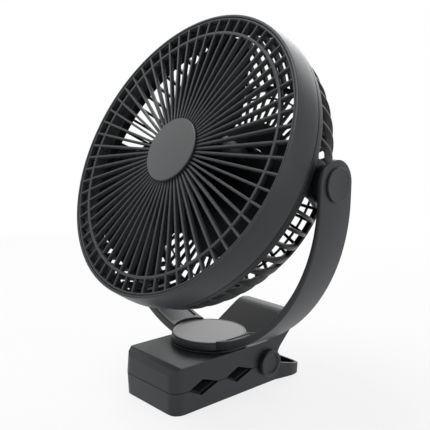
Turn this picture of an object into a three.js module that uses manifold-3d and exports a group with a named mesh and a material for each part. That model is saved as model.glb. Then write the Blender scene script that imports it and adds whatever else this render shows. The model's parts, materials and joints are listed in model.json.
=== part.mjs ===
// A rechargeable clip fan: a round fan head that tilts in a C-shaped yoke, which swivels on a spring clip.
// Millimetres, +Z up. The origin is on the swivel axis in the plane of the flat underside.
// The clip's mouth opens towards -Y and its two handles point towards +Y.
import * as THREE from "three";
import { mergeVertices } from "three/addons/utils/BufferGeometryUtils.js";
import Module from "manifold-3d";

const wasm = await Module();
wasm.setup();

// ---------------------------------------------------------------- driving dimensions
const GAP = 0.3; // clearance between pieces that touch

// Clip
const CLIP_FRONT = -59.5; // y of the mouth's front face at the seam
const CLIP_REAR = 72.5; // y of the ends of both handles
const CLIP_HALF_WIDTH = 31; // at the seam
const HANDLE_HALF_WIDTH = 34; // of the lower handle, which flares
const SEAM_Z = 16.6;
const SEAM_GAP = 0.4;
const CLIP_TOP_Z = 34.3;
const DRAFT = 0.05; // side walls lean in by this much per millimetre away from the seam
const CORNER_RADIUS = 9;
const WALL = 2.2;
const PIVOT_Y = 33.8;
const PIVOT_Z = 17.3;
const EAR_RADIUS = 9.6;
const PIN_RADIUS = 3;
const PIN_CAP_RADIUS = 10.5;
const PIN_CAP_PROUD = 4.4;
const NOTCH_CENTRES = [-32.5, 2.6]; // y of the two diamond channels
const NOTCH_HALF_LENGTH = 14.3;
const NOTCH_RISE = 5.5;
const NOTCH_DROP = 6.2;
const PAD_LIP = 1.2; // how far the rubber shows inside the edge of a diamond
const PAD_THICKNESS = 2;

// Swivel
const FLANGE_RADIUS = 29.8;
const HUB_RADIUS = 29;
const HUB_BOTTOM_Z = 36.4;
const DISC_RADIUS = 28.4;
const DISC_TOP_Z = 42.8;
const SPIGOT_RADIUS = 10;

// Yoke
const YOKE_HALF_DEPTH = 15.5;
const YOKE_CENTRE_Z = 154; // centre of both ellipses that the arms follow
const YOKE_OUTER = { x: 114.5, z: 119.8 };
const YOKE_INNER = { x: 111.3, z: 113 };
const YOKE_LIP = 3; // width of the rails beside the inner liner
const LINER_SINK = 0.8;
const LINER_THICKNESS = 1.3;
const YOKE_CAP_RADIUS = 11;
const YOKE_CAP_PROUD = 1.8;

// Head, in its own frame: x across, y up the face, z forward along the fan's axis
const TILT_DEG = 25;
const TILT_Z = 164.5;
const RIM_RADIUS = 106.3;
const RIM_FRONT = 41.5;
const GRILLE_FRONT = 41.1;
const GRILLE_DEPTH = 3.6;
const GRILLE_RADIUS = 104.1;
const GRILLE_RIBS = 60;
const GRILLE_RIB_WIDTH = 1.7;
const GRILLE_RING_RADIUS = 92.2;
const GRILLE_RING_WIDTH = 2.2;
const GRILLE_HUB_RADIUS = 22.5;
const BADGE_RADIUS = 23.8;
const BADGE_FRONT = 43.4;
const SPLIT = 22; // the line between the front ring and the rear basket
const REAR_RIBS = 56;
const REAR_RIB_WIDTH = 2;
const BACK_PLANE = -29;
const MOTOR_RADIUS = 33;
const BACK_RADIUS = 85.5;
const BACK_DISC_RADIUS = 54; // the closed middle of the flat back
const BLADES = 3;
const BLADE_TIP_RADIUS = 96.5;
const BLADE_CENTRE_Z = 15;
const FAN_HUB_RADIUS = 29;
const FAN_HUB_FRONT = 24;
const PAD_HALF_WIDTH = 12.7; // of the closed pads at the pivots
const BOSS_RADIUS = 11;

const radians = THREE.MathUtils.degToRad;

// ---------------------------------------------------------------- finishes
function finish(color, roughness, metalness = 0) {
  return { color, roughness, metalness };
}
const SHELL = finish(0x45474b, 0.55);
const GRILLE = finish(0x54575c, 0.5);
const LIGHT_DISC = finish(0x6a6d72, 0.45);
const RUBBER = finish(0x101214, 0.9);
const DARK = finish(0x1b1e22, 0.6);
const BLADE = finish(0x2c3036, 0.35);
const STEEL = finish(0xa7abb0, 0.3, 0.9);
const COPPER = finish(0xa8642f, 0.35, 0.8);
const BOARD = finish(0x1d5a38, 0.6);
const FOIL = finish(0x8d9299, 0.4, 0.4);
const LENS = finish(0xdfe6ea, 0.2);

// ---------------------------------------------------------------- solids
// A closed three.js geometry as a solid that can be joined and cut.
function solid(geometry) {
  const bare = geometry.clone();
  bare.deleteAttribute("normal");
  bare.deleteAttribute("uv");
  const merged = mergeVertices(bare, 1e-4);
  const made = new wasm.Manifold(
    new wasm.Mesh({
      numProp: 3,
      vertProperties: new Float32Array(merged.attributes.position.array),
      triVerts: new Uint32Array(merged.index.array),
    }),
  );
  return made;
}

function geometryOf(body) {
  const mesh = body.getMesh();
  const points = new Float32Array(mesh.numVert * 3);
  for (let i = 0; i < mesh.numVert; i++) {
    points.set(mesh.vertProperties.subarray(i * mesh.numProp, i * mesh.numProp + 3), i * 3);
  }
  const geometry = new THREE.BufferGeometry();
  geometry.setAttribute("position", new THREE.BufferAttribute(points, 3));
  geometry.setIndex(new THREE.BufferAttribute(new Uint32Array(mesh.triVerts), 1));
  const flat = geometry.toNonIndexed();
  flat.computeVertexNormals();
  return flat;
}

function joined(bodies) {
  return bodies.reduce((whole, body) => whole.add(body));
}

// An outline in x and y, pushed up from z0 to z1.
function plate(outline, z0, z1, holes = []) {
  const shape = new THREE.Shape(outline.map(([x, y]) => new THREE.Vector2(x, y)));
  holes.forEach((hole) => shape.holes.push(new THREE.Path(hole.map(([x, y]) => new THREE.Vector2(x, y)))));
  const geometry = new THREE.ExtrudeGeometry(shape, { depth: z1 - z0, bevelEnabled: false });
  return geometry.translate(0, 0, z0);
}

// An outline in y and z, pushed along x from x0 to x1.
function acrossX(outline, x0, x1) {
  const geometry = plate(outline, x0, x1);
  geometry.rotateX(Math.PI / 2);
  return geometry.rotateZ(Math.PI / 2);
}

// An outline in x and z, pushed along y from y0 to y1.
function acrossY(outline, y0, y1) {
  const geometry = plate(outline, -y1, -y0);
  return geometry.rotateX(Math.PI / 2);
}

// A closed profile of [radius, z] points turned round the z axis, listed either way round.
function turned(profile, segments) {
  const points = profile.map(([r, z]) => new THREE.Vector2(r, z));
  if (THREE.ShapeUtils.area(points) < 0) points.reverse();
  const onAxis = profile[0][0] === 0;
  if (!onAxis) points.push(points[0].clone());
  const geometry = new THREE.LatheGeometry(points, segments);
  return geometry.rotateX(Math.PI / 2);
}

function rod(radius, z0, z1, segments = 32) {
  return turned([[0, z0], [radius, z0], [radius, z1], [0, z1]], segments);
}

function tube(inner, outer, z0, z1, segments = 48) {
  return turned([[inner, z0], [outer, z0], [outer, z1], [inner, z1]], segments);
}

// Points of an arc in a plane, from one angle to another in degrees.
function arc(cx, cy, radius, from, to, steps) {
  const points = [];
  for (let i = 0; i <= steps; i++) {
    const angle = radians(from + ((to - from) * i) / steps);
    points.push([cx + radius * Math.cos(angle), cy + radius * Math.sin(angle)]);
  }
  return points;
}

// A profile that was turned round z, laid along +x or -x at the given place.
function alongX(geometry, side, y, z) {
  geometry.rotateY((side * Math.PI) / 2);
  return geometry.translate(0, y, z);
}

function mesh(name, shape, look) {
  const geometry = shape.isBufferGeometry ? shape : geometryOf(shape);
  const material = new THREE.MeshStandardMaterial({ ...look });
  const made = new THREE.Mesh(geometry, material);
  made.name = name;
  return made;
}

// ---------------------------------------------------------------- clip outlines
// The plan of the clip, drawn in by inset, with the flare of the lower handle.
function clipPlan(inset, rearHalfWidth, rearRadius) {
  const half = CLIP_HALF_WIDTH - inset;
  const rear = rearHalfWidth - inset;
  const front = CLIP_FRONT + inset;
  const end = CLIP_REAR - inset;
  const r = CORNER_RADIUS - inset;
  const s = rearRadius - inset * 0.6;
  const right = [
    ...arc(half - r, front + r, r, -90, 0, 4),
    [half, 44],
    [half + (rear - half) * 0.55, 52],
    [rear, 60],
    ...arc(rear - s, end - s, s, 0, 90, 3),
  ];
  const left = right.map(([x, y]) => [-x, y]).reverse();
  return [...right, ...left];
}

// A block with the clip's plan, whose walls lean in away from the seam. side is 1 for the upper jaw, -1 for the lower.
function clipBlock(plan, side, z0, z1) {
  const geometry = plate(plan, z0, z1);
  const position = geometry.attributes.position;
  for (let i = 0; i < position.count; i++) {
    const lean = 1 - (DRAFT * side * (position.getZ(i) - SEAM_Z)) / CLIP_HALF_WIDTH;
    position.setX(i, position.getX(i) * lean);
    if (position.getY(i) < 0) position.setY(i, position.getY(i) * (1 + lean) * 0.5);
  }
  return geometry;
}

// One diamond channel's outline in y and z, drawn in by inset along its half axes.
function diamond(centre, inset) {
  const half = NOTCH_HALF_LENGTH - inset * 2.2;
  return [
    [centre - half, SEAM_Z],
    [centre - 1.9, SEAM_Z - NOTCH_DROP + inset],
    [centre + half, SEAM_Z],
    [centre - 0.9, SEAM_Z + NOTCH_RISE - inset],
  ];
}

// The line that a grip pad follows: flat lands with a V in each diamond. side is +1 above the seam.
function gripLine(side, offset, from, to) {
  const points = [[from, SEAM_Z + side * (SEAM_GAP / 2 + offset)]];
  for (const centre of NOTCH_CENTRES) {
    const [left, low, right, high] = diamond(centre, PAD_LIP);
    const tip = side > 0 ? high : low;
    const slope = offset * 0.3;
    points.push([left[0] + slope, SEAM_Z + side * (SEAM_GAP / 2 + offset)]);
    points.push([tip[0], tip[1] + side * offset]);
    points.push([right[0] - slope, SEAM_Z + side * (SEAM_GAP / 2 + offset)]);
  }
  points.push([to, SEAM_Z + side * (SEAM_GAP / 2 + offset)]);
  return points;
}

// ---------------------------------------------------------------- lower jaw
const LOWER_SIDE = [
  [CLIP_FRONT - 1, SEAM_Z - SEAM_GAP / 2],
  [CLIP_FRONT - 1, 1.2],
  [CLIP_FRONT + 2.2, 0],
  [CLIP_REAR - 1.4, 0],
  [CLIP_REAR + 0.5, 1.4],
  [CLIP_REAR + 0.5, 7.4],
  [44.6, 14.4],
  [40, 15.2],
  [26, SEAM_Z - SEAM_GAP / 2],
];

function lowerJawShell() {
  const plan = clipPlan(0, HANDLE_HALF_WIDTH, 8);
  let shell = solid(clipBlock(plan, -1, -1, 30)).intersect(solid(acrossX(LOWER_SIDE, -40, 40)));
  const ears = solid(alongX(rod(EAR_RADIUS, -CLIP_HALF_WIDTH, CLIP_HALF_WIDTH, 32), 1, PIVOT_Y, PIVOT_Z));
  shell = shell.add(ears.intersect(solid(clipBlock(plan, -1, -1, 30))));
  const hollow = clipPlan(WALL, HANDLE_HALF_WIDTH, 8);
  shell = shell.subtract(solid(clipBlock(hollow, -1, 2.4, 40)));
  shell = shell.add(lowerWebs());
  shell = shell.subtract(solid(alongX(rod(PIN_RADIUS + 0.2, -40, 40, 20), 1, PIVOT_Y, PIVOT_Z)));
  for (const centre of NOTCH_CENTRES) {
    shell = shell.subtract(solid(acrossX(diamond(centre, 0), -40, 40)));
  }
  return shell;
}

// Cross webs on the floor that carry the rubber pad, and a low wall that closes the handle's tray.
function lowerWebs() {
  const top = SEAM_Z - SEAM_GAP / 2 - PAD_THICKNESS - GAP;
  const half = CLIP_HALF_WIDTH - WALL - 0.3;
  const webs = [-51.5, -15.2].map((y) =>
    solid(plate([[-half, y - 1], [half, y - 1], [half, y + 1], [-half, y + 1]], 1, top)),
  );
  const stop = solid(plate([[-half, 20.2], [half, 20.2], [half, 22.2], [-half, 22.2]], 1, 11));
  return joined([...webs, stop]);
}

function lowerGripPad() {
  const from = CLIP_FRONT + WALL + GAP + 0.9;
  const to = 21.5;
  const top = gripLine(-1, 0, from, to);
  const bottom = gripLine(-1, PAD_THICKNESS, from, to).reverse();
  const half = CLIP_HALF_WIDTH - WALL - GAP - 0.5;
  const strip = solid(acrossX([...bottom, ...top], -half, half));
  return strip.intersect(solid(clipBlock(clipPlan(WALL + GAP + 0.5, HANDLE_HALF_WIDTH, 8), -1, -1, 30)));
}

function pinCap() {
  const base = CLIP_HALF_WIDTH + GAP;
  const face = CLIP_HALF_WIDTH + PIN_CAP_PROUD;
  const recess = face - 1.3;
  return turned(
    [
      [0, base + 1.9],
      [PIN_RADIUS + 0.2, base + 1.9],
      [PIN_RADIUS + 0.2, base],
      [PIN_CAP_RADIUS, base],
      [PIN_CAP_RADIUS, face - 0.8],
      [PIN_CAP_RADIUS - 0.8, face],
      [7.9, face],
      [7.2, recess],
      [0, recess],
    ],
    28,
  );
}

// The torsion spring: eight open coils round the pin, with one leg on the lower floor and one under the upper handle.
const SPRING = { wire: 1.1, radius: 7, turns: 8, pitch: 2.9, stepsPerTurn: 8, sides: 5 };

function springPath() {
  const { radius, turns, pitch, stepsPerTurn } = SPRING;
  const points = [];
  const start = radians(-100);
  const steps = turns * stepsPerTurn;
  for (let i = 0; i <= steps; i++) {
    const angle = start - (i * 2 * Math.PI) / stepsPerTurn - (i / steps) * radians(130);
    const x = (i / steps - 0.5) * turns * pitch;
    points.push(new THREE.Vector3(x, PIVOT_Y + radius * Math.cos(angle), PIVOT_Z + radius * Math.sin(angle)));
  }
  return points;
}

// The least clear distance between any two turns of the wire, measured on points along its centre line.
function springSelfGap(path) {
  const points = path.getSpacedPoints(700);
  const step = path.getLength() / 700;
  const skip = Math.ceil((Math.PI * SPRING.wire * 3) / step);
  let least = Infinity;
  for (let i = 0; i < points.length; i++) {
    for (let j = i + skip; j < points.length; j++) {
      least = Math.min(least, points[i].distanceTo(points[j]));
    }
  }
  return least - 2 * SPRING.wire;
}

function clipSpring() {
  const coil = springPath();
  const first = coil[0];
  const last = coil[coil.length - 1];
  const lowerLeg = [
    new THREE.Vector3(first.x, first.y + 22, 4.6),
    new THREE.Vector3(first.x, first.y + 11, 7.2),
    new THREE.Vector3(first.x, first.y + 4, first.z - 0.8),
  ];
  const upperLeg = [
    new THREE.Vector3(last.x, last.y + 3.1, last.z + 2.5),
    new THREE.Vector3(last.x, last.y + 11, last.z + 8.8),
    new THREE.Vector3(last.x, last.y + 19, last.z + 15.2),
  ];
  const path = new THREE.CatmullRomCurve3([...lowerLeg, ...coil, ...upperLeg], false, "centripetal");
  console.log("clip spring, least gap to itself in mm:", springSelfGap(path).toFixed(2));
  const section = arc(0, 0, SPRING.wire, 0, 360 - 360 / SPRING.sides, SPRING.sides - 1);
  const shape = new THREE.Shape(section.map(([x, y]) => new THREE.Vector2(x, y)));
  const steps = SPRING.turns * SPRING.stepsPerTurn + 16;
  return new THREE.ExtrudeGeometry(shape, { extrudePath: path, steps, bevelEnabled: false });
}

function lowerJaw() {
  const group = new THREE.Group();
  group.add(mesh("lower_jaw_shell", lowerJawShell(), SHELL));
  group.add(mesh("lower_grip_pad", lowerGripPad(), RUBBER));
  const pin = alongX(rod(PIN_RADIUS, -32.8, 32.8, 20), 1, PIVOT_Y, PIVOT_Z);
  group.add(mesh("hinge_pin", pin, STEEL));
  group.add(mesh("pin_cap_right", alongX(pinCap(), 1, PIVOT_Y, PIVOT_Z), SHELL));
  group.add(mesh("pin_cap_left", alongX(pinCap(), -1, PIVOT_Y, PIVOT_Z), SHELL));
  group.add(mesh("clip_spring", clipSpring(), STEEL));
  return group;
}

// ---------------------------------------------------------------- upper jaw
// The upper jaw's top line in y and z, from the front crease to the handle's end, lowered by sink.
function topLine(sink) {
  return [
    [33.3, CLIP_TOP_Z - sink],
    [36.5, CLIP_TOP_Z + 1.4 - sink],
    [57.5, CLIP_TOP_Z + 14.6 - sink],
    [61.5, CLIP_TOP_Z + 16.6 - sink],
    [66, CLIP_TOP_Z + 17.3 - sink],
    [71, CLIP_TOP_Z + 16.8 - sink],
  ];
}

const UPPER_SIDE = [
  [CLIP_FRONT - 1, SEAM_Z + SEAM_GAP / 2],
  [PIVOT_Y, SEAM_Z + SEAM_GAP / 2],
  [45.6, 22.1],
  [46.4, 24.5],
  [48.6, 27.2],
  [CLIP_REAR - 0.6, 48.4],
  [CLIP_REAR, 49.2],
  [CLIP_REAR - 0.2, 50.6],
  ...topLine(0).reverse(),
  [-52.4, CLIP_TOP_Z],
  [-53.6, 33.1],
  [-55.4, 32.3],
  [-58.6, 29],
  [CLIP_FRONT - 1, 28.2],
];

// The inside of the handle and of the front box, in y and z.
const UPPER_HOLLOWS = [
  [
    [CLIP_FRONT + WALL, 0],
    [22, 0],
    [22, 40],
    [CLIP_FRONT + WALL + 7, 40],
    [CLIP_FRONT + WALL + 7, 31],
    [CLIP_FRONT + WALL, 27.4],
  ],
  [
    [46.5, 28.4],
    [66, 45.8],
    [66, 60],
    [46.5, 60],
  ],
];

function coverBand(top, bottom) {
  return [
    [-51.6, CLIP_TOP_Z - top],
    ...topLine(top),
    ...topLine(bottom).reverse(),
    [-51.6, CLIP_TOP_Z - bottom],
  ];
}

function upperJawShell() {
  const plan = clipPlan(0, CLIP_HALF_WIDTH, 6);
  let shell = solid(clipBlock(plan, 1, 10, 60)).intersect(solid(acrossX(UPPER_SIDE, -40, 40)));
  const inside = clipPlan(WALL, CLIP_HALF_WIDTH, 6);
  const core = solid(clipBlock(inside, 1, 0, 60));
  for (const outline of UPPER_HOLLOWS) {
    shell = shell.subtract(core.intersect(solid(acrossX(outline, -40, 40))));
  }
  shell = shell.add(upperWebs());
  const pocket = solid(clipBlock(clipPlan(0.9, CLIP_HALF_WIDTH, 6), 1, 20, 70));
  shell = shell.subtract(pocket.intersect(solid(acrossX(coverBand(-8, 2.2), -40, 40))));
  shell = shell.subtract(pivotClearance());
  shell = shell.add(pivotLugs());
  shell = shell.subtract(solid(alongX(rod(PIN_RADIUS + 0.3, -40, 40, 20), 1, PIVOT_Y, PIVOT_Z)));
  for (const centre of NOTCH_CENTRES) {
    shell = shell.subtract(solid(acrossX(diamond(centre, 0), -40, 40)));
  }
  return shell.subtract(portOpenings());
}

// Webs above the rubber pad, which hold it down and carry the battery.
function upperWebs() {
  const bottom = SEAM_Z + SEAM_GAP / 2 + PAD_THICKNESS + GAP;
  const half = CLIP_HALF_WIDTH - WALL - 0.3;
  const webs = [-51, -15.2, 20.4].map((y) =>
    solid(plate([[-half, y - 1], [half, y - 1], [half, y + 1], [-half, y + 1]], bottom, 24.6)),
  );
  return joined(webs);
}

// Room round the pivot for the lower jaw's ears, its walls and the spring.
function pivotClearance() {
  const ring = solid(alongX(rod(EAR_RADIUS + 0.5, -40, 40, 32), 1, PIVOT_Y, PIVOT_Z));
  const spring = [
    [22.5, 10],
    [60, 10],
    [60, 47.6],
    [56, 47.6],
    [34, 30.6],
    [22.5, 28],
  ];
  return ring.add(solid(acrossX(spring, -14, 14)));
}

// Two lugs that carry the upper jaw on the pin.
function pivotLugs() {
  const lugs = [-1, 1].map((side) => {
    const a = side * 15;
    const b = side * 27.6;
    const eye = solid(alongX(rod(7.4, Math.min(a, b), Math.max(a, b), 24), 1, PIVOT_Y, PIVOT_Z));
    const neck = [
      [PIVOT_Y - 7.2, PIVOT_Z],
      [PIVOT_Y + 7.2, PIVOT_Z],
      [PIVOT_Y + 7.2, PIVOT_Z + 11],
      [PIVOT_Y - 7.2, PIVOT_Z + 11],
    ];
    return eye.add(solid(acrossX(neck, Math.min(a, b), Math.max(a, b))));
  });
  return joined(lugs);
}

// The charging socket's slot and the light's hole in the left wall.
const PORT = { y: 6, z: 28.6, width: 9.2, height: 3.4 };

function slotOutline(width, height) {
  const r = height / 2;
  return [
    ...arc(width / 2 - r, 0, r, -90, 90, 6),
    ...arc(-width / 2 + r, 0, r, 90, 270, 6),
  ];
}

function portOpenings() {
  const slot = slotOutline(PORT.width + 0.8, PORT.height + 0.8).map(([y, z]) => [PORT.y + y, PORT.z + z]);
  const light = arc(PORT.y + 11, PORT.z, 1.5, 0, 345, 15);
  return solid(acrossX(slot, -40, -25)).add(solid(acrossX(light, -40, -25)));
}

function chargePort() {
  const outer = slotOutline(PORT.width, PORT.height).map(([y, z]) => [PORT.y + y, PORT.z + z]);
  const inner = slotOutline(PORT.width - 0.8, PORT.height - 0.8).map(([y, z]) => [PORT.y + y, PORT.z + z]);
  const tongue = [
    [PORT.y - 3.3, PORT.z - 0.35],
    [PORT.y + 3.3, PORT.z - 0.35],
    [PORT.y + 3.3, PORT.z + 0.35],
    [PORT.y - 3.3, PORT.z + 0.35],
  ];
  const shell = solid(acrossX(outer, -30, -22.8)).subtract(solid(acrossX(inner, -34, -24.2)));
  return shell.add(solid(acrossX(tongue, -28.6, -24)));
}

function topCover() {
  const plan = solid(clipBlock(clipPlan(0.9 + GAP, CLIP_HALF_WIDTH, 6), 1, 20, 70));
  let cover = plan.intersect(solid(acrossX(coverBand(0, 1.9), -40, 40)));
  cover = cover.subtract(solid(rod(SPIGOT_RADIUS - 3.4, 20, 60, 32)));
  return cover;
}

function upperGripPad() {
  const from = CLIP_FRONT + WALL + GAP + 0.9;
  const to = 21.5;
  const bottom = gripLine(1, 0, from, to);
  const top = gripLine(1, PAD_THICKNESS, from, to).reverse();
  const half = CLIP_HALF_WIDTH - WALL - GAP - 0.5;
  const strip = solid(acrossX([...bottom, ...top], -half, half));
  return strip.intersect(solid(clipBlock(clipPlan(WALL + GAP + 0.5, CLIP_HALF_WIDTH, 6), 1, 10, 40)));
}

function batteryPack() {
  const x0 = -17;
  const x1 = 26.5;
  const r = 2.4;
  const outline = [
    ...arc(x1 - r, 24.9 + r, r, -90, 0, 3),
    ...arc(x1 - r, 31.6 - r, r, 0, 90, 3),
    ...arc(x0 + r, 31.6 - r, r, 90, 180, 3),
    ...arc(x0 + r, 24.9 + r, r, 180, 270, 3),
  ];
  return acrossY(outline, -46, 15);
}

// The fixed half of the swivel: a flange on the clip's top with a hollow spigot that the yoke turns on.
function turntableBase() {
  const bottom = CLIP_TOP_Z + GAP;
  return turned(
    [
      [3, bottom],
      [FLANGE_RADIUS, bottom],
      [FLANGE_RADIUS, HUB_BOTTOM_Z - GAP],
      [SPIGOT_RADIUS, HUB_BOTTOM_Z - GAP],
      [SPIGOT_RADIUS, 38.9],
      [3, 38.9],
    ],
    40,
  );
}

function swivelScrew() {
  return turned(
    [
      [0, 33.2],
      [2.5, 33.2],
      [2.5, 40.2],
      [6, 40.2],
      [6, 41.2],
      [0, 41.2],
    ],
    20,
  );
}

function upperJaw() {
  const group = new THREE.Group();
  group.add(mesh("upper_jaw_shell", upperJawShell(), SHELL));
  group.add(mesh("top_cover", topCover(), SHELL));
  group.add(mesh("upper_grip_pad", upperGripPad(), RUBBER));
  group.add(mesh("battery_pack", batteryPack(), FOIL));
  const board = plate([[-27.6, -30], [-18.6, -30], [-18.6, 19], [-27.6, 19]], 24.9, 26.1);
  group.add(mesh("charge_board", board, BOARD));
  group.add(mesh("charge_port", chargePort(), STEEL));
  const lens = alongX(rod(1.2, 26, 30.1, 12), -1, PORT.y + 11, PORT.z);
  group.add(mesh("charge_light", lens, LENS));
  group.add(mesh("turntable_base", turntableBase(), DARK));
  group.add(mesh("swivel_washer", tube(SPIGOT_RADIUS - 7, 16, 39.2, 39.9, 24), STEEL));
  group.add(mesh("swivel_screw", swivelScrew(), STEEL));
  return group;
}

// ---------------------------------------------------------------- yoke
// Points down one arm, round the bottom and up the other, on an ellipse with straight ends.
function yokeLine(axes, steps) {
  const points = [[axes.x, 190]];
  for (let i = 0; i <= steps; i++) {
    const angle = (-Math.PI * i) / steps;
    points.push([axes.x * Math.cos(angle), YOKE_CENTRE_Z + axes.z * Math.sin(angle)]);
  }
  points.push([-axes.x, 190]);
  return points;
}

function yokeBand(outer, inner, halfDepth) {
  const outline = [...yokeLine(outer, 30), ...yokeLine(inner, 30).reverse()];
  return solid(acrossY(outline, -halfDepth, halfDepth));
}

// A block between two values of x and two of z, deeper than the yoke.
function slab(x0, x1, z0, z1) {
  return solid(plate([[x0, -40], [x1, -40], [x1, 40], [x0, 40]], z0, z1));
}

// The same round end on both arms, as an outline in y and z.
function armEnd(halfDepth) {
  return [[-halfDepth, 20], [halfDepth, 20], ...arc(0, TILT_Z, halfDepth, 0, 180, 14)];
}

function yokeFrame() {
  let yoke = yokeBand(YOKE_OUTER, YOKE_INNER, YOKE_HALF_DEPTH);
  yoke = yoke.intersect(solid(acrossX(armEnd(YOKE_HALF_DEPTH), -130, 130)));
  yoke = yoke.add(solid(rod(HUB_RADIUS, HUB_BOTTOM_Z - 4, DISC_TOP_Z - 1.6, 44)));
  yoke = yoke.subtract(slab(-130, 130, 20, HUB_BOTTOM_Z));
  const channel = { x: YOKE_INNER.x + 1.4, z: YOKE_INNER.z + LINER_SINK + LINER_THICKNESS + GAP };
  const cut = yokeBand(channel, { x: YOKE_INNER.x - 6, z: YOKE_INNER.z - 6 }, YOKE_HALF_DEPTH - YOKE_LIP);
  for (const side of [-1, 1]) {
    const reach = slab(Math.min(side * 29.6, side * 130), Math.max(side * 29.6, side * 130), 38, 147);
    yoke = yoke.subtract(cut.intersect(reach));
  }
  yoke = yoke.subtract(solid(rod(DISC_RADIUS + GAP, DISC_TOP_Z - 1.6, 60, 44)));
  yoke = yoke.subtract(solid(rod(20, 38.9, 60, 28)));
  yoke = yoke.subtract(solid(rod(SPIGOT_RADIUS + GAP, 30, 60, 40)));
  for (const side of [-1, 1]) {
    yoke = yoke.subtract(solid(alongX(rod(3.3, 100, 130, 16), side, 0, TILT_Z)));
    yoke = yoke.subtract(solid(alongX(rod(6.2, 112.9, 130, 24), side, 0, TILT_Z)));
  }
  return yoke;
}

// The liner that closes the channel inside one arm.
function yokeLiner(side) {
  const outer = { x: YOKE_INNER.x + 1.1, z: YOKE_INNER.z + LINER_SINK + LINER_THICKNESS };
  const inner = { x: YOKE_INNER.x + 0.1, z: YOKE_INNER.z + LINER_SINK };
  const band = yokeBand(outer, inner, YOKE_HALF_DEPTH - YOKE_LIP - GAP);
  const near = side * (HUB_RADIUS + 1);
  const far = side * 130;
  return band.intersect(slab(Math.min(near, far), Math.max(near, far), 38, 146.7));
}

function yokeCap() {
  const base = YOKE_OUTER.x + GAP;
  const face = YOKE_OUTER.x + YOKE_CAP_PROUD;
  return turned(
    [
      [0, base],
      [YOKE_CAP_RADIUS, base],
      [YOKE_CAP_RADIUS, face - 0.5],
      [YOKE_CAP_RADIUS - 0.5, face],
      [0, face],
    ],
    36,
  );
}

function swivelCover() {
  const top = DISC_TOP_Z;
  return turned(
    [
      [0, top - 1.3],
      [DISC_RADIUS, top - 1.3],
      [DISC_RADIUS, top - 0.35],
      [DISC_RADIUS - 0.5, top],
      [0, top],
    ],
    44,
  );
}

function yokeAssembly() {
  const group = new THREE.Group();
  group.add(mesh("yoke_frame", yokeFrame(), SHELL));
  group.add(mesh("yoke_liner_right", yokeLiner(1), SHELL));
  group.add(mesh("yoke_liner_left", yokeLiner(-1), SHELL));
  group.add(mesh("yoke_cap_right", alongX(yokeCap(), 1, 0, TILT_Z), SHELL));
  group.add(mesh("yoke_cap_left", alongX(yokeCap(), -1, 0, TILT_Z), SHELL));
  group.add(mesh("swivel_cover", swivelCover(), LIGHT_DISC));
  return group;
}

// ---------------------------------------------------------------- head shells
// One window of the front grille between two straight ribs, from one radius to another.
function grilleWindow(index, inner, outer) {
  const half = GRILLE_RIB_WIDTH / 2;
  const pitch = (2 * Math.PI) / GRILLE_RIBS;
  const corner = (radius, edge) => {
    const away = Math.asin(half / radius);
    const angle = edge > 0 ? pitch * (index + 1) - away : pitch * index + away;
    return [radius * Math.cos(angle), radius * Math.sin(angle)];
  };
  return [corner(inner, -1), corner(outer, -1), corner(outer, 1), corner(inner, 1)];
}

function frontGrille() {
  const windows = [];
  const ringIn = GRILLE_RING_RADIUS - GRILLE_RING_WIDTH / 2;
  const ringOut = GRILLE_RING_RADIUS + GRILLE_RING_WIDTH / 2;
  for (let i = 0; i < GRILLE_RIBS; i++) {
    windows.push(grilleWindow(i, GRILLE_HUB_RADIUS, ringIn));
    windows.push(grilleWindow(i, ringOut, GRILLE_RADIUS - 1.2));
  }
  const edge = arc(0, 0, GRILLE_RADIUS, 0, 354, 59);
  return plate(edge, GRILLE_FRONT - GRILLE_DEPTH, GRILLE_FRONT, windows);
}

function frontRing() {
  return turned(
    [
      [104.4, 36.7],
      [104.4, RIM_FRONT],
      [105.9, RIM_FRONT],
      [107.5, 34],
      [108.4, SPLIT + 0.2],
      [106.4, SPLIT + 0.2],
      [105.2, 35.2],
      [102.8, 35.6],
      [102.8, 36.7],
    ],
    56,
  );
}

// One blade-like rib of the basket, deep in radius and thin across, standing at angle 0.
function rearRib() {
  const outline = [
    [102.4, 16.4],
    [107, 16.4],
    [104.6, 2.6],
    [97.2, -13],
    [84.8, -28.6],
    [82.4, -27.4],
    [94, -9],
    [99.2, 2],
  ];
  return acrossY(outline, -REAR_RIB_WIDTH / 2, REAR_RIB_WIDTH / 2);
}

// A ring with as many corners as there are ribs, each corner inside a rib.
function basketRing(profile) {
  return solid(turned(profile, REAR_RIBS));
}

// The flat back: straight bars that carry on from the ribs to a closed disc round the motor's hole.
function backPlate() {
  const half = REAR_RIB_WIDTH / 2;
  const turn = (2 * Math.PI) / REAR_RIBS;
  const windows = [];
  for (let i = 0; i < REAR_RIBS; i++) {
    const corner = (radius, step, side) => {
      const angle = turn * (i + step) + side * Math.asin(half / radius);
      return [radius * Math.cos(angle), radius * Math.sin(angle)];
    };
    const inner = BACK_DISC_RADIUS;
    const outer = BACK_RADIUS - 4.4;
    windows.push([corner(inner, 0, 1), corner(outer, 0, 1), corner(outer, 1, -1), corner(inner, 1, -1)]);
  }
  windows.push(arc(0, 0, MOTOR_RADIUS + GAP, 0, 350, 35));
  const pitch = 360 / REAR_RIBS;
  const edge = arc(0, 0, BACK_RADIUS, 0, 360 - pitch, REAR_RIBS - 1);
  return solid(plate(edge, BACK_PLANE, BACK_PLANE + 2.6, windows));
}

function basketRim() {
  return basketRing([[108.3, SPLIT - 0.2], [106.2, SPLIT - 0.2], [104.2, 15.6], [107.1, 15.6]]);
}

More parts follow.
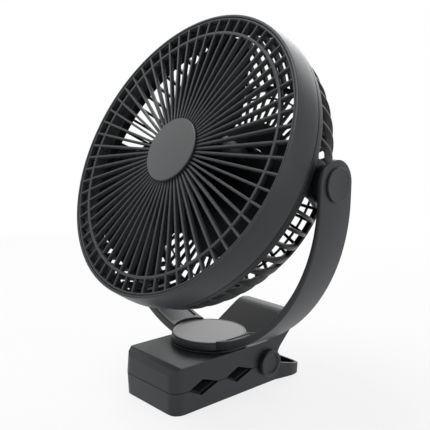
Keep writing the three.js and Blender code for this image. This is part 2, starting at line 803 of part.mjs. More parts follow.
// The closed pads at the two sides, where the pivots are.
function sidePad(side) {
  const outline = [
    [100.6, -2.6],
    [105.4, 9.6],
    [107.2, 16.2],
    [107.2, 17.6],
    [100.8, 17.6],
    [98.9, 4],
    [94.4, -6],
    [91.4, -11.4],
    [93.6, -15],
    [97.2, -10],
  ];
  const pad = solid(acrossY(outline, -PAD_HALF_WIDTH, PAD_HALF_WIDTH));
  const boss = solid(alongX(rod(BOSS_RADIUS + 1.4, 98.9, 103.6, 40), 1, 0, 0));
  const whole = pad.add(boss);
  return side > 0 ? whole : whole.mirror([1, 0, 0]);
}

function rearBasket() {
  const pieces = [basketRim(), backPlate()];
  for (let i = 0; i < REAR_RIBS; i++) {
    const angle = (360 / REAR_RIBS) * i;
    const fromPad = Math.min(Math.abs(angle), Math.abs(angle - 180), Math.abs(angle - 360));
    if (fromPad > 8) pieces.push(solid(rearRib().rotateZ(radians(angle))));
  }
  pieces.push(sidePad(1), sidePad(-1));
  let basket = wasm.Manifold.union(pieces);
  for (const side of [-1, 1]) {
    basket = basket.subtract(solid(alongX(rod(3.3, 80, 120, 16), side, 0, 0)));
    basket = basket.subtract(solid(alongX(rod(BOSS_RADIUS + GAP, 103.6, 120, 28), side, 0, 0)));
  }
  return basket;
}

function pivotBoss() {
  return turned(
    [
      [3.3, 103.9],
      [BOSS_RADIUS, 103.9],
      [BOSS_RADIUS, 110],
      [3.3, 110],
    ],
    28,
  );
}

function pivotScrew() {
  return turned(
    [
      [0, 98.4],
      [2.9, 98.4],
      [2.9, 113.2],
      [5.8, 113.2],
      [5.8, 114.3],
      [0, 114.3],
    ],
    16,
  );
}

function badge() {
  const back = GRILLE_FRONT + GAP;
  return turned(
    [
      [0, back],
      [BADGE_RADIUS, back],
      [BADGE_RADIUS, BADGE_FRONT - 0.6],
      [BADGE_RADIUS - 0.7, BADGE_FRONT],
      [0, BADGE_FRONT],
    ],
    44,
  );
}

// ---------------------------------------------------------------- motor and fan
function motorHousing() {
  return turned(
    [
      [7.6, -34],
      [31.4, -34],
      [MOTOR_RADIUS, -32.4],
      [MOTOR_RADIUS, -17],
      [MOTOR_RADIUS - 1.8, -17],
      [MOTOR_RADIUS - 1.8, -32.2],
      [7.6, -32.2],
    ],
    32,
  );
}

function stator() {
  const teeth = 6;
  let core = solid(tube(5.6, 11, -24, -13, 24));
  for (let i = 0; i < teeth; i++) {
    const winding = solid(plate([[10, -2.2], [16.8, -2.2], [16.8, 2.2], [10, 2.2]], -24, -13));
    const shoe = solid(plate([...arc(0, 0, 18.6, -15, 15, 3), ...arc(0, 0, 16.2, 15, -15, 2)], -23, -14));
    const tooth = joined([winding, shoe]);
    core = core.add(tooth.rotate([0, 0, (360 / teeth) * i]));
  }
  return core;
}

function bearingSleeve() {
  return turned(
    [
      [2.6, -27.6],
      [9, -27.6],
      [9, -25.2],
      [5.3, -25.2],
      [5.3, -9.6],
      [2.6, -9.6],
    ],
    20,
  );
}

function rotorCup() {
  return turned(
    [
      [2.6, -8.6],
      [21.2, -8.6],
      [21.2, -24],
      [22.6, -24],
      [22.6, -7],
      [2.6, -7],
    ],
    28,
  );
}

function fanHub() {
  return turned(
    [
      [3.6, -6.6],
      [8, -6.6],
      [8, FAN_HUB_FRONT - 2.6],
      [FAN_HUB_RADIUS - 2, FAN_HUB_FRONT - 3.6],
      [FAN_HUB_RADIUS - 2, -13],
      [FAN_HUB_RADIUS, -13],
      [FAN_HUB_RADIUS, FAN_HUB_FRONT - 3],
      [FAN_HUB_RADIUS - 2.6, FAN_HUB_FRONT],
      [3.6, FAN_HUB_FRONT],
    ],
    32,
  );
}

// Half the angle that a blade covers at a fraction t of its length: wide petals that narrow towards rounded tips.
function bladeHalfSpan(t) {
  const narrowing = THREE.MathUtils.smoothstep(t, 0.22, 0.6);
  const rounding = Math.max(0, (t - 0.86) / 0.14);
  return radians((51 - 15 * narrowing) * (1 - 0.34 * rounding ** 2.2));
}

// How far a blade's middle leans round the wheel at a fraction t of its length.
function bladeSweep(t) {
  return radians(-6 + 22 * Math.max(0, (t - 0.25) / 0.75) ** 1.3);
}

// One wide, twisted blade as a closed grid of points, standing at angle 0.
function fanBlade() {
  const stations = 9;
  const chordSteps = 7;
  const points = [];
  const index = [];
  const rowLength = (chordSteps + 1) * 2;
  for (let s = 0; s <= stations; s++) {
    const t = (s / stations) ** 0.8;
    const radius = FAN_HUB_RADIUS - 1.1 + (BLADE_TIP_RADIUS - FAN_HUB_RADIUS + 1.1) * t;
    const depth = 14 + 13 * t;
    for (let c = 0; c <= chordSteps * 2 + 1; c++) {
      const upper = c <= chordSteps;
      const u = upper ? c / chordSteps : (chordSteps * 2 + 1 - c) / chordSteps;
      const angle = bladeSweep(t) + bladeHalfSpan(t) * (2 * u - 1);
      const camber = 2.4 * Math.sin(Math.PI * u);
      const half = (0.75 + 0.35 * (1 - t)) * (0.45 + 0.55 * Math.sin(Math.PI * u));
      const z = BLADE_CENTRE_Z + depth * (0.5 - u) + camber + (upper ? half : -half);
      points.push(radius * Math.cos(angle), radius * Math.sin(angle), z);
    }
  }
  for (let s = 0; s < stations; s++) {
    for (let c = 0; c < rowLength; c++) {
      const a = s * rowLength + c;
      const b = s * rowLength + ((c + 1) % rowLength);
      index.push(a, a + rowLength, b, b, a + rowLength, b + rowLength);
    }
  }
  const cap = (row, flip) => {
    for (let c = 0; c < chordSteps; c++) {
      const a = row * rowLength + c;
      const b = a + 1;
      const d = row * rowLength + rowLength - 1 - c;
      const e = d - 1;
      if (flip) index.push(a, d, b, b, d, e);
      else index.push(a, b, d, b, e, d);
    }
  };
  cap(0, false);
  cap(stations, true);
  const geometry = new THREE.BufferGeometry();
  geometry.setAttribute("position", new THREE.BufferAttribute(new Float32Array(points), 3));
  geometry.setIndex(index);
  return geometry;
}

function outwards(body) {
  if (body.volume() > 0) return body;
  throw new Error("a blade is inside out");
}

function fanRotor() {
  const pieces = [solid(fanHub())];
  for (let i = 0; i < BLADES; i++) {
    pieces.push(outwards(solid(fanBlade().rotateZ(radians((360 / BLADES) * i + 96)))));
  }
  return joined(pieces);
}

function bladeNut() {
  return turned(
    [
      [2.6, FAN_HUB_FRONT + GAP],
      [8, FAN_HUB_FRONT + GAP],
      [8, 28.6],
      [6, 31],
      [2.6, 31],
    ],
    20,
  );
}

function powerButton() {
  return turned(
    [
      [0, -31],
      [8.8, -31],
      [8.8, -31.9],
      [7.1, -31.9],
      [7.1, -34.6],
      [6.4, -35.2],
      [0, -35.2],
    ],
    28,
  );
}

function headAssembly() {
  const group = new THREE.Group();
  group.add(mesh("front_grille", frontGrille(), GRILLE));
  group.add(mesh("front_ring", frontRing(), SHELL));
  group.add(mesh("hub_badge", badge(), LIGHT_DISC));
  group.add(mesh("rear_basket", rearBasket(), DARK));
  group.add(mesh("motor_housing", motorHousing(), SHELL));
  group.add(mesh("motor_board", tube(10.4, 28, -29.4, -28, 28), BOARD));
  group.add(mesh("motor_stator", stator(), COPPER));
  group.add(mesh("bearing_sleeve", bearingSleeve(), STEEL));
  for (const [name, side] of [["right", 1], ["left", -1]]) {
    group.add(mesh("pivot_boss_" + name, alongX(pivotBoss(), side, 0, 0), DARK));
    group.add(mesh("pivot_screw_" + name, alongX(pivotScrew(), side, 0, 0), STEEL));
    group.add(mesh("pivot_washer_" + name, alongX(tube(3.3, 9, 110.3, 111, 20), side, 0, 0), RUBBER));
  }
  group.add(mesh("fan_blades", fanRotor(), BLADE));
  group.add(mesh("rotor_cup", rotorCup(), STEEL));
  group.add(mesh("rotor_magnet", tube(19.2, 20.9, -23, -10, 28), DARK));
  group.add(mesh("motor_shaft", rod(2.3, -26.6, 30.4, 16), STEEL));
  group.add(mesh("blade_nut", bladeNut(), DARK));
  group.add(mesh("power_button", powerButton(), LIGHT_DISC));
  group.rotation.x = Math.PI / 2 - radians(TILT_DEG);
  group.position.z = TILT_Z;
  return group;
}

const clipFan = new THREE.Group();
clipFan.add(lowerJaw(), upperJaw(), yokeAssembly(), headAssembly());

export default clipFan;
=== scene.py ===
"""Looks of a rechargeable clip fan: a caged fan head in a C-shaped yoke on a spring clip.

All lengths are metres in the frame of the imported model, where +Z is up and the fan faces -Y.
Head pieces are built in the head's own frame (x across, y up the face, z forward) and then tilted.
"""

import enum
import json
import logging
import math
from dataclasses import dataclass, field
from typing import Iterable, Mapping, Sequence

import bmesh
import bpy
from mathutils import Matrix, Vector


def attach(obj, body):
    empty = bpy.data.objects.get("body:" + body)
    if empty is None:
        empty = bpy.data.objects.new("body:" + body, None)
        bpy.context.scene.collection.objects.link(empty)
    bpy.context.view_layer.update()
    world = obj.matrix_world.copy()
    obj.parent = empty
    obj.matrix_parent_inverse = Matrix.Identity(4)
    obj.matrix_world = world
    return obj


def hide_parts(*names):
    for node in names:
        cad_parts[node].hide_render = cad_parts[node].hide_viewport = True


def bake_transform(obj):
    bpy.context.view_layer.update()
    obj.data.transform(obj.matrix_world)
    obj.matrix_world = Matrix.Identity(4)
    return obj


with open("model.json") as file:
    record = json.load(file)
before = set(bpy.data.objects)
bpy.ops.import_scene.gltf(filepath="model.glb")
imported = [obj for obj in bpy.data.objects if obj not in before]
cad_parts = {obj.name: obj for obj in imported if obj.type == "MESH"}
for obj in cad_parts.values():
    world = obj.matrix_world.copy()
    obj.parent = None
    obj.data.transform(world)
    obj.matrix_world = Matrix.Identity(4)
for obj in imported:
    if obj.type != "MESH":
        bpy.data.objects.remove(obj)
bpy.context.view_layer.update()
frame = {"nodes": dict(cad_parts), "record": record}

log = logging.getLogger("clip_fan")
MM = 0.001
FULL_TURN = 2 * math.pi
WELD = 1e-7  # points closer than this are one point
SIDES = ((1, "right"), (-1, "left"))
WHITE = (1.0, 1.0, 1.0, 1.0)
ROOM_LIGHT = 0.11  # how strongly the white surroundings light surfaces
FLOOR_WHITENESS = 0.82  # share of plain white in what is seen of the floor beside the fan
SHADE_REACH = 0.75  # metres from the fan at which the floor is seen as plain white
SHADE_CURVE = 1.5  # above 1, the floor whitens late on the way there
FLOOR_HALF_WIDTH = 6.0
FLOOR_TOP = -0.2 * MM
FLOOR_BOTTOM = -20 * MM
Point2 = tuple[float, float]
Point3 = tuple[float, float, float]
Face = tuple[int, ...]


# ---------------------------------------------------------------- camera and light
@dataclass(frozen=True)
class View:
    """The photograph's camera, as fitted to the outlines seen in it."""

    azimuth: float = math.radians(47.2)
    elevation: float = math.radians(8.4)
    roll: float = math.radians(0.79)
    focal_pixels: float = 627.3
    image_pixels: float = 430.0
    shift_right: float = -2.93 * MM
    shift_up: float = 17.25 * MM
    distance: float = 469.2 * MM
    target: Vector = field(default_factory=lambda: Vector((0.0, 0.0, 150.0 * MM)))


def add_camera(view: View) -> bpy.types.Object:
    """Places the camera.

    Args:
        view: where it stands and what it looks at.

    Returns:
        The camera object, which the scene uses.
    """
    back = Vector(
        (
            math.sin(view.azimuth) * math.cos(view.elevation),
            -math.cos(view.azimuth) * math.cos(view.elevation),
            math.sin(view.elevation),
        )
    )
    right = Vector((math.cos(view.azimuth), math.sin(view.azimuth), 0.0))
    up = back.cross(right)
    turned_right = right * math.cos(view.roll) + up * math.sin(view.roll)
    turned_up = up * math.cos(view.roll) - right * math.sin(view.roll)
    place = view.target - turned_right * view.shift_right - turned_up * view.shift_up + back * view.distance
    data = bpy.data.cameras.new("camera")
    data.sensor_fit = "HORIZONTAL"
    data.sensor_width = 36.0
    data.lens = view.focal_pixels * data.sensor_width / view.image_pixels
    data.clip_start = 0.01
    data.clip_end = 20.0
    camera = bpy.data.objects.new("camera", data)
    bpy.context.scene.collection.objects.link(camera)
    axes = Matrix((turned_right, turned_up, back)).transposed()
    camera.matrix_world = Matrix.Translation(place) @ axes.to_4x4()
    bpy.context.scene.camera = camera
    return camera


@dataclass(frozen=True)
class Softbox:
    """One large studio light."""

    name: str
    place: tuple[float, float, float]
    aim: tuple[float, float, float]
    size: tuple[float, float]
    power: float


SOFTBOXES = (
    Softbox("key_above_left", (-0.35, -0.45, 1.35), (0.0, 0.0, 0.1), (0.8, 0.8), 13.0),
    Softbox("fill_right", (1.2, 0.1, 0.35), (0.0, 0.0, 0.13), (0.7, 0.9), 3.3),
    Softbox("rim_behind", (-0.4, 1.05, 0.8), (0.0, 0.0, 0.12), (1.2, 0.6), 5.5),
    Softbox("edge_left_behind", (-0.75, 0.9, 0.6), (0.0, 0.0, 0.08), (1.0, 0.7), 1.5),
)


def add_light(box: Softbox) -> bpy.types.Object:
    """Adds one soft light.

    Args:
        box: its place, aim, size and power.

    Returns:
        The light object.
    """
    data = bpy.data.lights.new(box.name, "AREA")
    data.shape = "RECTANGLE"
    data.size, data.size_y = box.size
    data.energy = box.power
    light = bpy.data.objects.new(box.name, data)
    bpy.context.scene.collection.objects.link(light)
    light.location = box.place
    way = Vector(box.aim) - Vector(box.place)
    light.rotation_euler = way.to_track_quat("-Z", "Y").to_euler()
    light.visible_camera = False
    return light


# ---------------------------------------------------------------- node trees
class Value:
    """An output of a node tree. Where it is a number, plain operators work on it."""

    def __init__(self, tree: "Tree", socket: bpy.types.NodeSocket) -> None:
        """Wraps an output socket of a tree."""
        self.tree = tree
        self.socket = socket

    def _math(self, operation: str, first: "Value | float", second: "Value | float") -> "Value":
        """Returns the result of a Math node on two numbers."""
        made = self.tree.node("ShaderNodeMath", {"operation": operation}, {0: first, 1: second})
        return Value(self.tree, made.outputs["Value"])

    def __add__(self, other: "Value | float") -> "Value":
        """Returns this value plus another."""
        return self._math("ADD", self, other)

    def __radd__(self, other: float) -> "Value":
        """Returns a number plus this value."""
        return self._math("ADD", other, self)

    def __sub__(self, other: "Value | float") -> "Value":
        """Returns this value less another."""
        return self._math("SUBTRACT", self, other)

    def __rsub__(self, other: float) -> "Value":
        """Returns a number less this value."""
        return self._math("SUBTRACT", other, self)

    def __mul__(self, other: "Value | float") -> "Value":
        """Returns this value times another."""
        return self._math("MULTIPLY", self, other)

    def __rmul__(self, other: float) -> "Value":
        """Returns a number times this value."""
        return self._math("MULTIPLY", other, self)

    def __pow__(self, other: "Value | float") -> "Value":
        """Returns this value to the power of another."""
        return self._math("POWER", self, other)

    def __rpow__(self, other: float) -> "Value":
        """Returns a number to the power of this value."""
        return self._math("POWER", other, self)

    def at_least(self, other: "Value | float") -> "Value":
        """Returns the greater of this value and another."""
        return self._math("MAXIMUM", self, other)

    def at_most(self, other: "Value | float") -> "Value":
        """Returns the lesser of this value and another."""
        return self._math("MINIMUM", self, other)


class Tree:
    """Adds nodes to one node tree."""

    def __init__(self, tree: bpy.types.NodeTree) -> None:
        """Takes the tree that gets the nodes, and empties it."""
        self.tree = tree
        tree.nodes.clear()

    def node(
        self,
        kind: str,
        settings: Mapping[str, object] | None = None,
        inputs: Mapping[str | int, object] | None = None,
    ) -> bpy.types.Node:
        """Adds a node.

        Args:
            kind: the node's type name.
            settings: the node's own attributes, which are set first.
            inputs: what each input takes, by the input's name or number.

        Returns:
            The new node.
        """
        made = self.tree.nodes.new(kind)
        for name, setting in (settings or {}).items():
            setattr(made, name, setting)
        for key, value in (inputs or {}).items():
            self.feed(made.inputs[key], value)
        return made

    def feed(self, socket: bpy.types.NodeSocket, value: object) -> None:
        """Links an input or sets it.

        Args:
            socket: the input.
            value: a Value or an output socket to link, or else a constant.
        """
        source = value.socket if isinstance(value, Value) else value
        if isinstance(source, bpy.types.NodeSocket):
            self.tree.links.new(source, socket)
        else:
            socket.default_value = source

    def mixed(
        self, fraction: Value, first: bpy.types.NodeSocket, second: bpy.types.NodeSocket
    ) -> bpy.types.NodeSocket:
        """Returns a shader between two others, which is the second where the fraction is 1."""
        made = self.node("ShaderNodeMixShader", inputs={"Fac": fraction, 1: first, 2: second})
        return made.outputs["Shader"]

    def seen_directly(self) -> Value:
        """Tells what is looked at from what only sends light.

        Returns:
            1 for what the camera, a mirror or a clear piece shows, and 0 for light on surfaces.
        """
        rays = self.node("ShaderNodeLightPath").outputs
        seen = Value(self, rays["Is Camera Ray"])
        for name in ("Is Glossy Ray", "Is Transmission Ray"):
            seen = seen.at_least(Value(self, rays[name]))
        return seen


class Graph(Tree):
    """Builds one material's nodes."""

    def __init__(self, name: str) -> None:
        """Starts a material that shows one main shader.

        Args:
            name: the material's name.
        """
        self.material = bpy.data.materials.new(name)
        self.material.use_nodes = True
        super().__init__(self.material.node_tree)
        self.shader = self.node("ShaderNodeBsdfPrincipled")
        self.output = self.node("ShaderNodeOutputMaterial", inputs={"Surface": self.shader.outputs["BSDF"]})

    def place(self, stretch: Point3 = (1.0, 1.0, 1.0)) -> Value:
        """Returns object coordinates, stretched by a factor along each axis."""
        own = self.node("ShaderNodeTexCoord").outputs["Object"]
        mapping = self.node("ShaderNodeMapping", inputs={"Vector": own, "Scale": stretch})
        return Value(self, mapping.outputs["Vector"])

    def noise(self, place: Value, scale: float, detail: float = 2.0, roughness: float = 0.5) -> Value:
        """Adds a noise pattern.

        Args:
            place: the coordinates.
            scale: how many cells there are per metre.
            detail: octaves.
            roughness: strength of the finer octaves.

        Returns:
            The pattern, from 0 to 1.
        """
        inputs = {"Vector": place, "Scale": scale, "Detail": detail, "Roughness": roughness}
        return Value(self, self.node("ShaderNodeTexNoise", inputs=inputs).outputs["Fac"])

    def cells(self, place: Value, scale: float) -> Value:
        """Returns the distance to the nearest of many scattered points."""
        made = self.node("ShaderNodeTexVoronoi", inputs={"Vector": place, "Scale": scale})
        return Value(self, made.outputs["Distance"])

    def blend(self, fraction: Value, low: Sequence[float], high: Sequence[float]) -> Value:
        """Returns a colour between two colours."""
        inputs = {"Factor": fraction, "A": (*low, 1.0), "B": (*high, 1.0)}
        return Value(self, self.node("ShaderNodeMix", {"data_type": "RGBA"}, inputs).outputs["Result"])

    def bump(self, height: Value, strength: float, distance: float) -> Value:
        """Returns a surface normal raised by a height pattern."""
        inputs = {"Height": height, "Strength": strength, "Distance": distance}
        return Value(self, self.node("ShaderNodeBump", inputs=inputs).outputs["Normal"])

    def finish(self, **values: object) -> bpy.types.Material:
        """Sets the main shader's inputs.

        Args:
            values: what each input takes, by its name with _ for a space.

        Returns:
            The material.
        """
        for name, value in values.items():
            self.feed(self.shader.inputs[name.replace("_", " ")], value)
        return self.material


# ---------------------------------------------------------------- finishes
@dataclass(frozen=True)
class Moulding:
    """Moulded plastic: a base colour that drifts a little, a fine spark-eroded grain and faint wear."""

    name: str
    color: Point3
    roughness: float
    grain: float = 2600.0  # grains per metre
    depth: float = 0.00004
    drift: float = 0.12  # how far the colour strays, as a share of it
    coat: float = 0.0
    shine: float = 0.5
    patches: float = 14.0  # broad patches per metre
    unevenness: float = 0.08  # how far the roughness strays

    def build(self) -> bpy.types.Material:
        """Builds the finish.

        Returns:
            The material.
        """
        g = Graph(self.name)
        place = g.place()
        broad = g.noise(place, self.patches, 3.0)
        fine = g.noise(place, self.grain, 2.0, 0.7)
        pits = g.cells(place, self.grain * 0.6)
        low = tuple(c * (1.0 - self.drift) for c in self.color)
        high = tuple(c * (1.0 + self.drift) for c in self.color)
        return g.finish(
            Base_Color=g.blend(0.7 * broad + 0.3 * fine, low, high),
            Roughness=self.unevenness * broad + self.unevenness * fine + (self.roughness - self.unevenness),
            Normal=g.bump(0.7 * fine + 0.3 * pits, 0.35, self.depth),
            Specular_IOR_Level=self.shine,
            Coat_Weight=self.coat,
            Coat_Roughness=0.25,
        )


@dataclass(frozen=True)
class Rubber:
    """Soft black rubber with a cloudy bloom."""

    name: str
    color: Point3

    def build(self) -> bpy.types.Material:
        """Builds the finish.

        Returns:
            The material.
        """
        g = Graph(self.name)
        place = g.place()
        bloom = g.noise(place, 60.0, 4.0, 0.6)
        grain = g.noise(place, 1500.0, 2.0)
        pale = tuple(c * 2.2 + 0.004 for c in self.color)
        return g.finish(
            Base_Color=g.blend(bloom, self.color, pale),
            Roughness=0.12 * bloom + 0.78,
            Normal=g.bump(grain, 0.4, 0.00006),
        )


@dataclass(frozen=True)
class Metal:
    """Steel, brass or copper with lines along one axis and small marks."""

    name: str
    color: Point3
    roughness: float
    stretch: Point3 = (1.0, 30.0, 30.0)

    def build(self) -> bpy.types.Material:
        """Builds the finish.

        Returns:
            The material.
        """
        g = Graph(self.name)
        lines = g.noise(g.place(self.stretch), 160.0, 3.0, 0.6)
        marks = g.noise(g.place(), 90.0, 4.0, 0.65)
        low = tuple(c * 0.8 for c in self.color)
        return g.finish(
            Base_Color=g.blend(0.5 * lines + 0.5 * marks, low, self.color),
            Metallic=1.0,
            Roughness=0.15 * lines + 0.1 * marks + (self.roughness - 0.1),
            Normal=g.bump(lines, 0.2, 0.00002),
        )


@dataclass(frozen=True)
class Lens:
    """A small clear window over a lamp."""

    name: str
    color: Point3

    def build(self) -> bpy.types.Material:
        """Builds the finish.

        Returns:
            The material.
        """
        g = Graph(self.name)
        cloud = g.noise(g.place(), 900.0, 2.0)
        return g.finish(
            Base_Color=g.blend(cloud, tuple(c * 0.85 for c in self.color), self.color),
            Roughness=0.1 * cloud + 0.12,
            Transmission_Weight=0.6,
            IOR=1.49,
        )


class Slot(enum.Enum):
    """The finishes by the names that the record gives them."""

    SHELL = "shell"
    GRILLE = "grille"
    SATIN_DISC = "satin_disc"
    DARK = "dark_plastic"
    BLADE = "blade"
    RUBBER = "rubber"
    STEEL = "steel"
    BRASS = "brass"
    MAGNET = "magnet"
    WINDING = "winding"
    BOARD = "board"
    FOIL = "foil"
    LENS = "lens"


FINISHES = {
    Slot.SHELL: Moulding("charcoal_moulding", (0.026, 0.028, 0.0325), 0.41, shine=0.36),
    Slot.GRILLE: Moulding("grille_moulding", (0.06, 0.063, 0.068), 0.45, shine=0.2),
    Slot.SATIN_DISC: Moulding("satin_disc_moulding", (0.078, 0.08, 0.083), 0.34),
    # Darker than the shell. On the rear basket, whose plastic is the shell's, this darkness is painted shade.
    Slot.DARK: Moulding("dark_moulding", (0.012, 0.013, 0.015), 0.42, shine=0.25),
    # Near black: the blades' own dark plastic, darkened further as painted shade for the inside of the cage.
    Slot.BLADE: Moulding(
        "blade_moulding", (0.0035, 0.004, 0.005), 0.38, grain=1400.0, depth=0.00002, drift=0.1, shine=0.05
    ),
    Slot.RUBBER: Rubber("black_rubber", (0.008, 0.008, 0.0085)),
    Slot.STEEL: Metal("plain_steel", (0.6, 0.61, 0.63), 0.32),
    Slot.BRASS: Metal("sleeve_brass", (0.62, 0.47, 0.22), 0.35),
    Slot.MAGNET: Metal("magnet_iron", (0.08, 0.08, 0.085), 0.5),
    Slot.WINDING: Metal("copper_winding", (0.6, 0.27, 0.12), 0.38, stretch=(60.0, 60.0, 1.0)),
    Slot.BOARD: Moulding("board_green", (0.02, 0.12, 0.055), 0.4, grain=900.0, drift=0.25, coat=0.3),
    Slot.FOIL: Metal("pouch_foil", (0.55, 0.57, 0.6), 0.4),
    Slot.LENS: Lens("clear_lens", (0.8, 0.85, 0.88)),
}


class Palette:
    """Makes each finish once and hands it to nodes and pieces."""

    def __init__(self) -> None:
        """Makes every finish."""
        self.materials = {slot: FINISHES[slot].build() for slot in Slot}

    def paint(self, obj: bpy.types.Object, slot: Slot) -> None:
        """Gives an object one finish.

        Args:
            obj: a mesh object.
            slot: the finish.
        """
        if not obj.material_slots:
            obj.data.materials.append(self.materials[slot])
            return
        for holder in obj.material_slots:
            holder.material = self.materials[slot]


# ---------------------------------------------------------------- mesh making
def linked(name: str, mesh: bpy.types.Mesh) -> bpy.types.Object:
    """Makes an object of a mesh and links it to the scene."""
    made = bpy.data.objects.new(name, mesh)
    bpy.context.scene.collection.objects.link(made)
    return made


def new_object(name: str, vertices: Sequence[Sequence[float]], faces: Sequence[Face]) -> bpy.types.Object:
    """Makes a mesh object with outward faces.

    Args:
        name: the object's name.
        vertices: points in metres.
        faces: corner indices.

    Returns:
        The object, linked to the scene.
    """
    data = bpy.data.meshes.new(name)
    data.from_pydata([tuple(v) for v in vertices], [], [tuple(f) for f in faces])
    obj = linked(name, data)
    outward(obj)
    return obj


def outward(obj: bpy.types.Object) -> None:
    """Turns all faces of a closed mesh outwards.

    Args:
        obj: the object.
    """
    mesh = bmesh.new()
    mesh.from_mesh(obj.data)
    bmesh.ops.remove_doubles(mesh, verts=mesh.verts, dist=WELD)
    bmesh.ops.recalc_face_normals(mesh, faces=mesh.faces)
    mesh.to_mesh(obj.data)
    mesh.free()


def smooth(obj: bpy.types.Object, degrees: float = 32.0) -> None:
    """Shades a mesh smooth, with its creases above an angle kept sharp."""
    obj.data.shade_smooth()
    obj.data.set_sharp_from_angle(angle=math.radians(degrees))


def rounded(profile: Sequence[Point2], radii: Sequence[float] | float, steps: int = 3) -> list[Point2]:
    """Rounds the corners of a closed outline.

    Args:
        profile: its corners in order.
        radii: one radius, or one for each corner.
        steps: segments in each round.

    Returns:
        The rounded outline.
    """
    out: list[Point2] = []
    count = len(profile)
    for i, corner in enumerate(profile):
        radius = radii if isinstance(radii, (int, float)) else radii[i]
        here = Vector(corner)
        before = Vector(profile[i - 1]) - here
        after = Vector(profile[(i + 1) % count]) - here
        reach = min(before.length, after.length) * 0.48
        cos_half = math.cos(before.angle(after) / 2)
        sin_half = math.sin(before.angle(after) / 2)
        back = min(reach, radius * cos_half / max(sin_half, 1e-6))
        if radius <= 0 or back < WELD or sin_half > 0.999:
            out.append(corner)
            continue
        a = here + before.normalized() * back
        b = here + after.normalized() * back
        for s in range(steps + 1):
            t = s / steps
            point = a * (1 - t) ** 2 + here * 2 * t * (1 - t) + b * t**2
            out.append((point.x, point.y))
    return out


def turned(name: str, profile: Sequence[Point2], segments: int) -> bpy.types.Object:
    """Turns a closed profile of (radius, height) round the z axis.

    Args:
        name: the object's name.
        profile: points in order; those at radius 0 lie on the axis.
        segments: how many steps make the full turn.

    Returns:
        The object.
    """
    vertices: list[Point3] = []
    faces: list[Face] = []
    count = len(profile)
    for s in range(segments):
        angle = FULL_TURN * s / segments
        for radius, height in profile:
            vertices.append((radius * math.cos(angle), radius * math.sin(angle), height))
    for s in range(segments):
        for i in range(count):
            j = (i + 1) % count
            if profile[i][0] < WELD and profile[j][0] < WELD:
                continue
            a, b = s * count + i, s * count + j
            n = ((s + 1) % segments) * count
            faces.append((a, b, n + j, n + i))
    data = bmesh.new()
    corners = [data.verts.new(v) for v in vertices]
    for face in faces:
        data.faces.new([corners[i] for i in face])
    bmesh.ops.remove_doubles(data, verts=data.verts, dist=WELD)
    bmesh.ops.dissolve_degenerate(data, edges=data.edges, dist=WELD / 10)
    bmesh.ops.recalc_face_normals(data, faces=data.faces)
    mesh = bpy.data.meshes.new(name)
    data.to_mesh(mesh)
    data.free()
    made = linked(name, mesh)
    smooth(made)
    return made


def sideways(obj: bpy.types.Object, side: int, y: float = 0.0, z: float = 0.0) -> bpy.types.Object:
    """Lays a piece that was turned round the z axis along x.

    Args:
        obj: the piece.
        side: 1 to the right, -1 to the left.
        y: where its axis then lies from front to back.
        z: the height of its axis.

    Returns:
        The piece.
    """
    obj.data.transform(Matrix.Rotation(side * math.pi / 2, 4, "Y"))
    obj.data.transform(Matrix.Translation((0.0, y, z)))
    return obj


def skinned(name: str, sections: Sequence[Sequence[Sequence[float]]]) -> bpy.types.Object:
    """Joins closed sections, each with the same number of points, into one closed skin.

    Args:
        name: the new object's name.
        sections: the sections in order along the body.

    Returns:
        The new object.
    """
    count = len(sections[0])
    last = (len(sections) - 1) * count
    vertices = [tuple(point) for section in sections for point in section]
    faces: list[Face] = [tuple(range(count)), tuple(range(last, last + count))]
    for k in range(len(sections) - 1):
        for i in range(count):
            a, b = k * count + i, k * count + (i + 1) % count
            faces.append((a, b, b + count, a + count))
    return new_object(name, vertices, faces)


def prism(name: str, outline: Sequence[Point2], low: float, high: float) -> bpy.types.Object:
    """Pushes an outline in x and y up from one height to another."""
    return skinned(name, [[(x, y, z) for x, y in outline] for z in (low, high)])


def soften(obj: bpy.types.Object, width: float, segments: int = 2, degrees: float = 28.0) -> None:
    """Rounds the edges of a mesh that are sharper than an angle.

    Args:
        obj: the object.
        width: the rounding's width.
        segments: its steps.
        degrees: the least angle between two faces of a rounded edge.
    """
    mesh = bmesh.new()
    mesh.from_mesh(obj.data)
    bmesh.ops.remove_doubles(mesh, verts=mesh.verts, dist=2e-6)
    bmesh.ops.dissolve_limit(
        mesh, angle_limit=math.radians(0.4), verts=mesh.verts, edges=mesh.edges, use_dissolve_boundaries=False
    )
    limit = math.radians(degrees)
    edges = [e for e in mesh.edges if len(e.link_faces) == 2 and e.calc_face_angle(0.0) > limit]
    bmesh.ops.bevel(
        mesh, geom=edges, offset=width, segments=segments, profile=0.5, affect="EDGES", clamp_overlap=True
    )
    bmesh.ops.recalc_face_normals(mesh, faces=mesh.faces)
    mesh.to_mesh(obj.data)
    mesh.free()
    smooth(obj, 40.0)


def settled(obj: bpy.types.Object) -> bpy.types.Object:
    """Applies an object's modifiers to its mesh.

    Args:
        obj: the object.

    Returns:
        The object.
    """
    bpy.context.view_layer.update()
    shape = bpy.data.meshes.new_from_object(obj.evaluated_get(bpy.context.evaluated_depsgraph_get()))
    obj.modifiers.clear()
    obj.data = shape
    return obj


def even_shading(obj: bpy.types.Object, degrees: float) -> None:
    """Lets large faces shade flat beside their rounded edges.

    Args:
        obj: the object.
        degrees: creases above this angle stay sharp.
    """
    smooth(obj, degrees)
    weigh = obj.modifiers.new("weigh", "WEIGHTED_NORMAL")
    weigh.mode = "FACE_AREA"
    weigh.weight = 50
    weigh.keep_sharp = True
    settled(obj)


def joined(name: str, parts: Iterable[bpy.types.Object]) -> bpy.types.Object:
    """Puts several objects' meshes into one object.

    Args:
        name: the new object's name.
        parts: the objects, which are removed.

    Returns:
        The new object.
    """
    whole = bmesh.new()
    for part in parts:
        whole.from_mesh(part.data)
        bpy.data.objects.remove(part)
    mesh = bpy.data.meshes.new(name)
    whole.to_mesh(mesh)
    whole.free()
    return linked(name, mesh)


